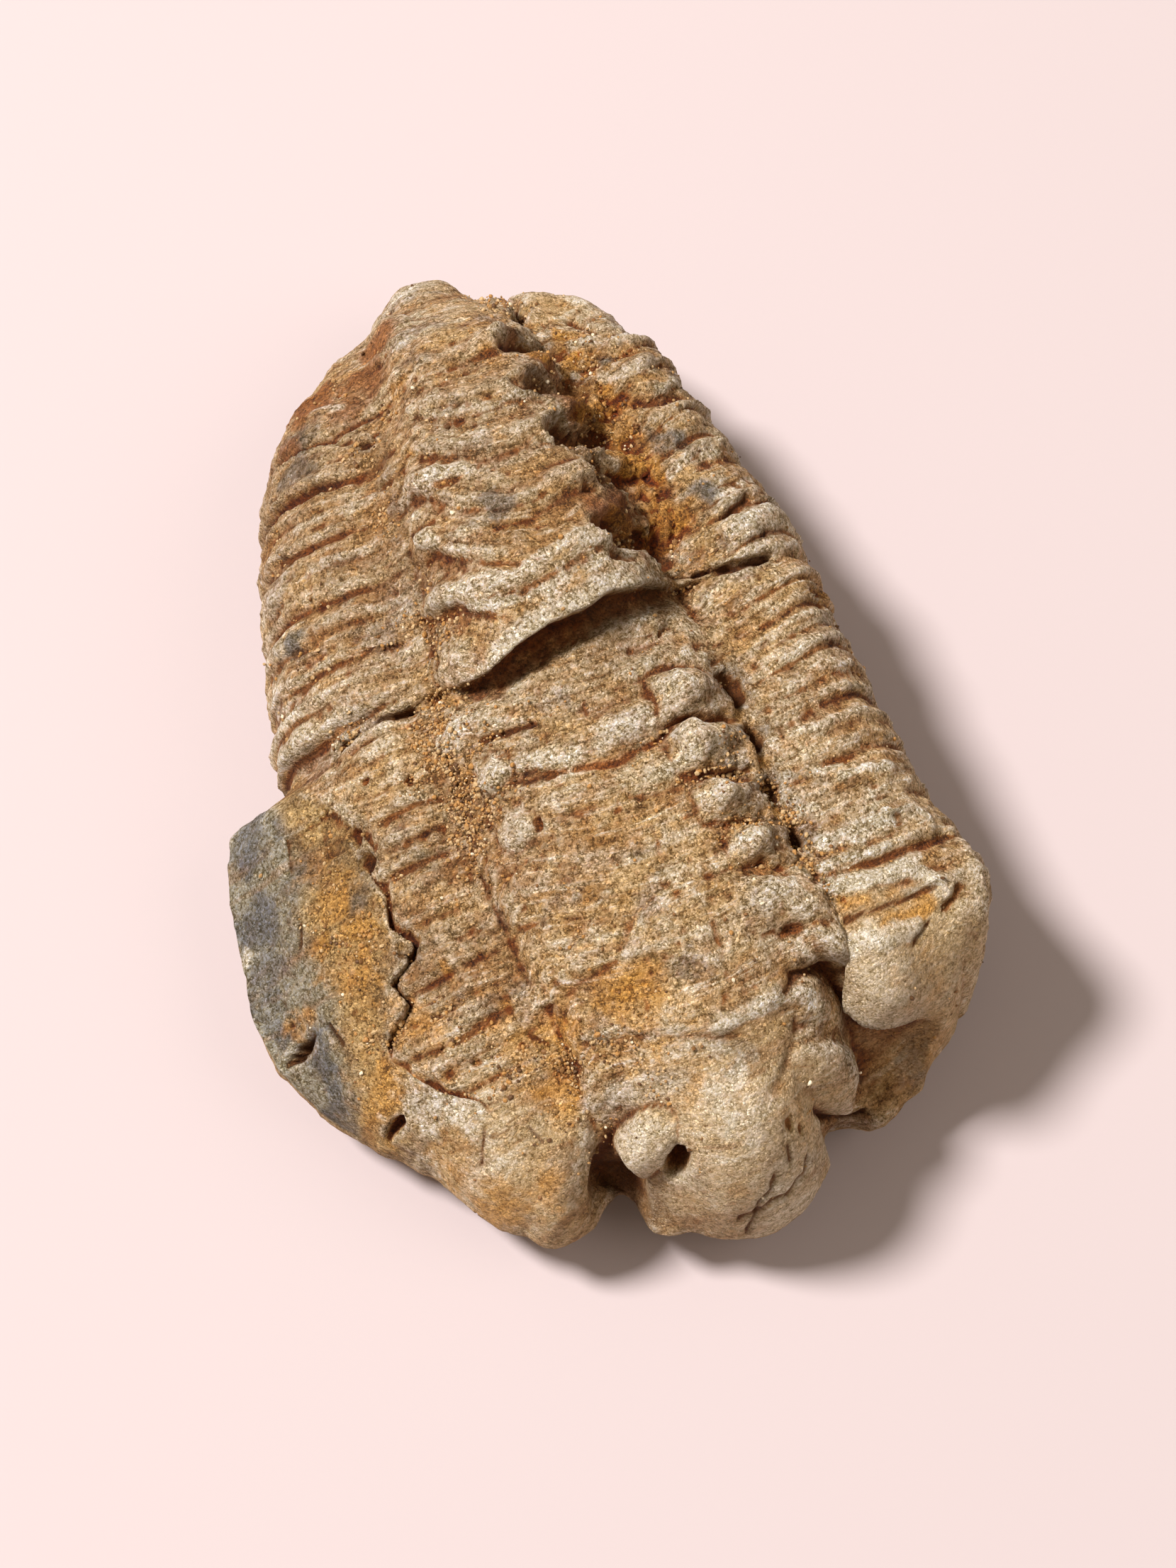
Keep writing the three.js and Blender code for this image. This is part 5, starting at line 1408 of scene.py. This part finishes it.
stained = times(stain["ochre"], mask["ochre"])
base = cover(base, [
    (times(mask["polish"], 0.6), (216, 188, 144)),
    (window(tree, mask["streak"], 0.46, 0.2, 0.0, 0.5), (164, 110, 52)),
    (times(window(tree, fine_streak, 0.46, 0.34, 0.0, 0.6), off_slab), (156, 102, 46)),
    (times(window(tree, mask["streak"], 0.58, 0.84, 0.0, 0.5), off_slab), (236, 218, 186)),
    (times(window(tree, fine_streak, 0.54, 0.68, 0.0, 0.6), off_slab), (238, 220, 188)),
    (window(tree, mask["crest_middle"], 0.55, 1.0, 0.0, 0.35), (238, 220, 190)),
    (window(tree, mask["crest_fine"], 0.54, 0.95, 0.0, 0.4), (238, 220, 190)),
    (times(stain["slate"], mask["slate"], 0.85), (122, 117, 110)),
    (times(stain["rust"], mask["rust"], 0.95), (166, 102, 44)),
    (times(stained, window(tree, mask["wear"], 0.8, 1.5, 0.75, 1.3)), (220, 154, 56)),
    # pale crust and painted highlights
    (times(stain["pale_crust_and_highlight"], 0.72), (240, 224, 196)),
])
base = cover(base, [  # hollows are darker and browner, whatever their colour: dirt, and painted shade
    (window(tree, mask["crest_middle"], 0.5, 0.05, 0.0, 0.85), (200, 156, 98)),
    (window(tree, mask["crest_fine"], 0.47, 0.08, 0.0, 0.9), (178, 128, 62)),
    # painted shade and darker stone over wide places
    (mask["darker_tone_and_shade"], (226, 214, 198)),
    (times(field(1.4, 0.52, 0.62, 0.5), mask["wear"]), (196, 158, 108)),
], "MULTIPLY")

# the fine shade: each part is added with its weight, from -0.66 on
dark_lines, pale_lines = line_at(0.46), line_at(0.56)
on_ribs = times(off_slab, window(tree, mask["polish"], 0.0, 0.5, 1.0, 0.25))
shade = -0.66
for part, weight in (
    (coarse["Tone"], 0.35), (fine["Tone"], 1.05), (dark_lines, -0.75), (pale_lines, 0.65),
    (window(tree, crumbs, 0.56, 0.68), -0.5), (window(tree, crumbs, 0.42, 0.32), 0.4),
    (window(tree, fine_streak, 0.3, 0.7, -0.28, 0.28), on_ribs),
):
    shade = add_part(shade, part, weight)
contrast = window(tree, mask["wear"], 0.1, 0.8, 0.6, 1.0)
shade = maths(tree, "MAXIMUM", add_part(1.06, shade, contrast), 0.2)
red, blue = (maths(tree, "POWER", shade, power) for power in (0.85, 1.45))  # shadows are warmer
shade_colour = add_node(tree, "ShaderNodeCombineColor", {0: red, 1: shade, 2: blue}).outputs[0]
base = blend(tree, 1.0, base, shade_colour, "MULTIPLY")
base = cover(base, [
    # bright ochre over the fine shade in coarse places: the stain's colour, and painted light that keeps the
    # shaded trough bright
    (times(stained, window(tree, mask["wear"], 1.0, 1.6, 0.0, 0.5)), (234, 168, 66)),
    # dark mud and painted shadow in the pockets
    (times(mask["mud_and_painted_shadow"], 0.6), (106, 64, 22)),
    # painted shade in the fine cracks
    (times(mask["crack"], 0.6), (84, 48, 18)),
])
put(tree, shader.inputs["Base Color"], base)

dullness = window(tree, mask["polish"], 0.0, 1.0, 0.82, 0.62)
put(tree, shader.inputs["Roughness"], add_part(dullness, fine["Tone"], 0.12))
shader.inputs["Specular IOR Level"].default_value = 0.35

height = 0.0
for part, weight in (
    (coarse["Height"], 0.3), (noise_node(tree, place, 0.6, 6.0, 0.75), 1.8), (fine["Height"], 0.6),
    (pale_lines, 0.35), (dark_lines, -0.35), (times(fine_streak, on_ribs), 1.6),
):
    height = add_part(height, part, weight)
height = times(height, window(tree, contrast, 0.4, 1.0, 0.6, 1.0))
bump = add_node(tree, "ShaderNodeBump", {"Strength": 1.0, "Distance": BUMP_DEPTH * MM, "Height": height})
put(tree, shader.inputs["Normal"], bump.outputs[0])
stone.data.materials.append(mudstone)

# %% [markdown]
# ## The grit's material
#
# A grain is dark brown, ochre, tan or almost white. Each has one random number, `tone`, and a color ramp
# turns it into one of these colours.

# %% Grit material
GRAIN_COLOURS = [  # from this tone on, this colour
    (0.0, (92, 60, 28)), (0.12, (172, 124, 66)), (0.36, (160, 122, 74)), (0.6, (190, 158, 114)),
    (0.84, (126, 86, 44)), (0.98, (228, 210, 180)),
]
grit_finish, tree, shader, _ = new_material("loose_grit")
ramp = add_node(tree, "ShaderNodeValToRGB", {0: attribute(tree, "tone")})
ramp.color_ramp.interpolation = "CONSTANT"
for stop, (at, grain_colour) in enumerate(GRAIN_COLOURS):
    if stop >= len(ramp.color_ramp.elements):
        ramp.color_ramp.elements.new(at)
    ramp.color_ramp.elements[stop].position = at
    ramp.color_ramp.elements[stop].color = colour(*grain_colour)
put(tree, shader.inputs["Base Color"], ramp.outputs[0])
shader.inputs["Roughness"].default_value = 0.7
grit.data.materials.append(grit_finish)
print("materials:", [finish.name for finish in (mudstone, grit_finish)])

# %% [markdown]
# ## Floor, light and camera
#
# The stone lies on a sheet of pale paper. One lamp at the upper left gives the relief its shadows, and
# a pale sky fills them. The lamp is an area light, because its size decides how soft the shadows are: a
# large lamp would wash out the ribs.

# %% Floor
FLOOR_SIZE = 1.6  # metres
floor_mesh = bpy.data.meshes.new("floor")
floor_corners = [(FLOOR_SIZE / 2 * a, FLOOR_SIZE / 2 * b, 0) for a, b in ((-1, -1), (1, -1), (1, 1), (-1, 1))]
floor_mesh.from_pydata(floor_corners, [], [(0, 1, 2, 3)])
floor = bpy.data.objects.new("floor", floor_mesh)
bpy.context.scene.collection.objects.link(floor)
paper, _, shader, _ = new_material("paper")
shader.inputs["Base Color"].default_value = colour(195, 180, 181)
shader.inputs["Roughness"].default_value = 0.9
floor_mesh.materials.append(paper)

# %% Light
TARGET = Vector((0.00076, -0.00489, 0.012))  # metres: the middle of the view
LAMP_DISTANCE = 0.9
LAMPS = {  # diameter in metres, power in watts, colour, azimuth and elevation in degrees
    "key": (0.2, 13.4, (1.0, 0.98, 0.96), -123, 58),
    "fill": (0.7, 1.7, (1.0, 0.94, 0.85), 60, 50),
}
SKY_COLOUR, SKY_STRENGTH = (1.0, 0.88, 0.7, 1), 0.27


def aim(thing, distance, azimuth, elevation):
    """Places a lamp or camera on a sphere round the target, looking at it. Azimuth 0 looks along +Y."""
    turn, tilt = math.radians(azimuth), math.radians(elevation)
    back = Vector((math.sin(turn) * math.cos(tilt), -math.cos(turn) * math.cos(tilt), math.sin(tilt)))
    thing.location = TARGET + distance * back
    thing.rotation_euler = (-back).to_track_quat("-Z", "Y").to_euler()
    bpy.context.scene.collection.objects.link(thing)


for name, (size, power, tint, azimuth, elevation) in LAMPS.items():
    lamp = bpy.data.lights.new(name, "AREA")
    lamp.shape, lamp.size, lamp.energy, lamp.color = "DISK", size, power, tint
    aim(bpy.data.objects.new(name, lamp), LAMP_DISTANCE, azimuth, elevation)

world = bpy.data.worlds.new("studio")
bpy.context.scene.world = world
world.use_nodes = True
sky = world.node_tree.nodes["Background"].inputs
sky["Color"].default_value = SKY_COLOUR
sky["Strength"].default_value = SKY_STRENGTH
bpy.context.scene.view_settings.view_transform = "Standard"

# %% Camera
CAMERA_DISTANCE, CAMERA_AZIMUTH, CAMERA_ELEVATION = 0.230, -18, 70
LENS = 89.8  # mm, on Blender's 36 mm sensor, along the longer side of the image

camera_data = bpy.data.cameras.new("camera")
camera_data.lens = LENS
camera_data.clip_start = 0.01
camera = bpy.data.objects.new("camera", camera_data)
aim(camera, CAMERA_DISTANCE, CAMERA_AZIMUTH, CAMERA_ELEVATION)
bpy.context.scene.camera = camera
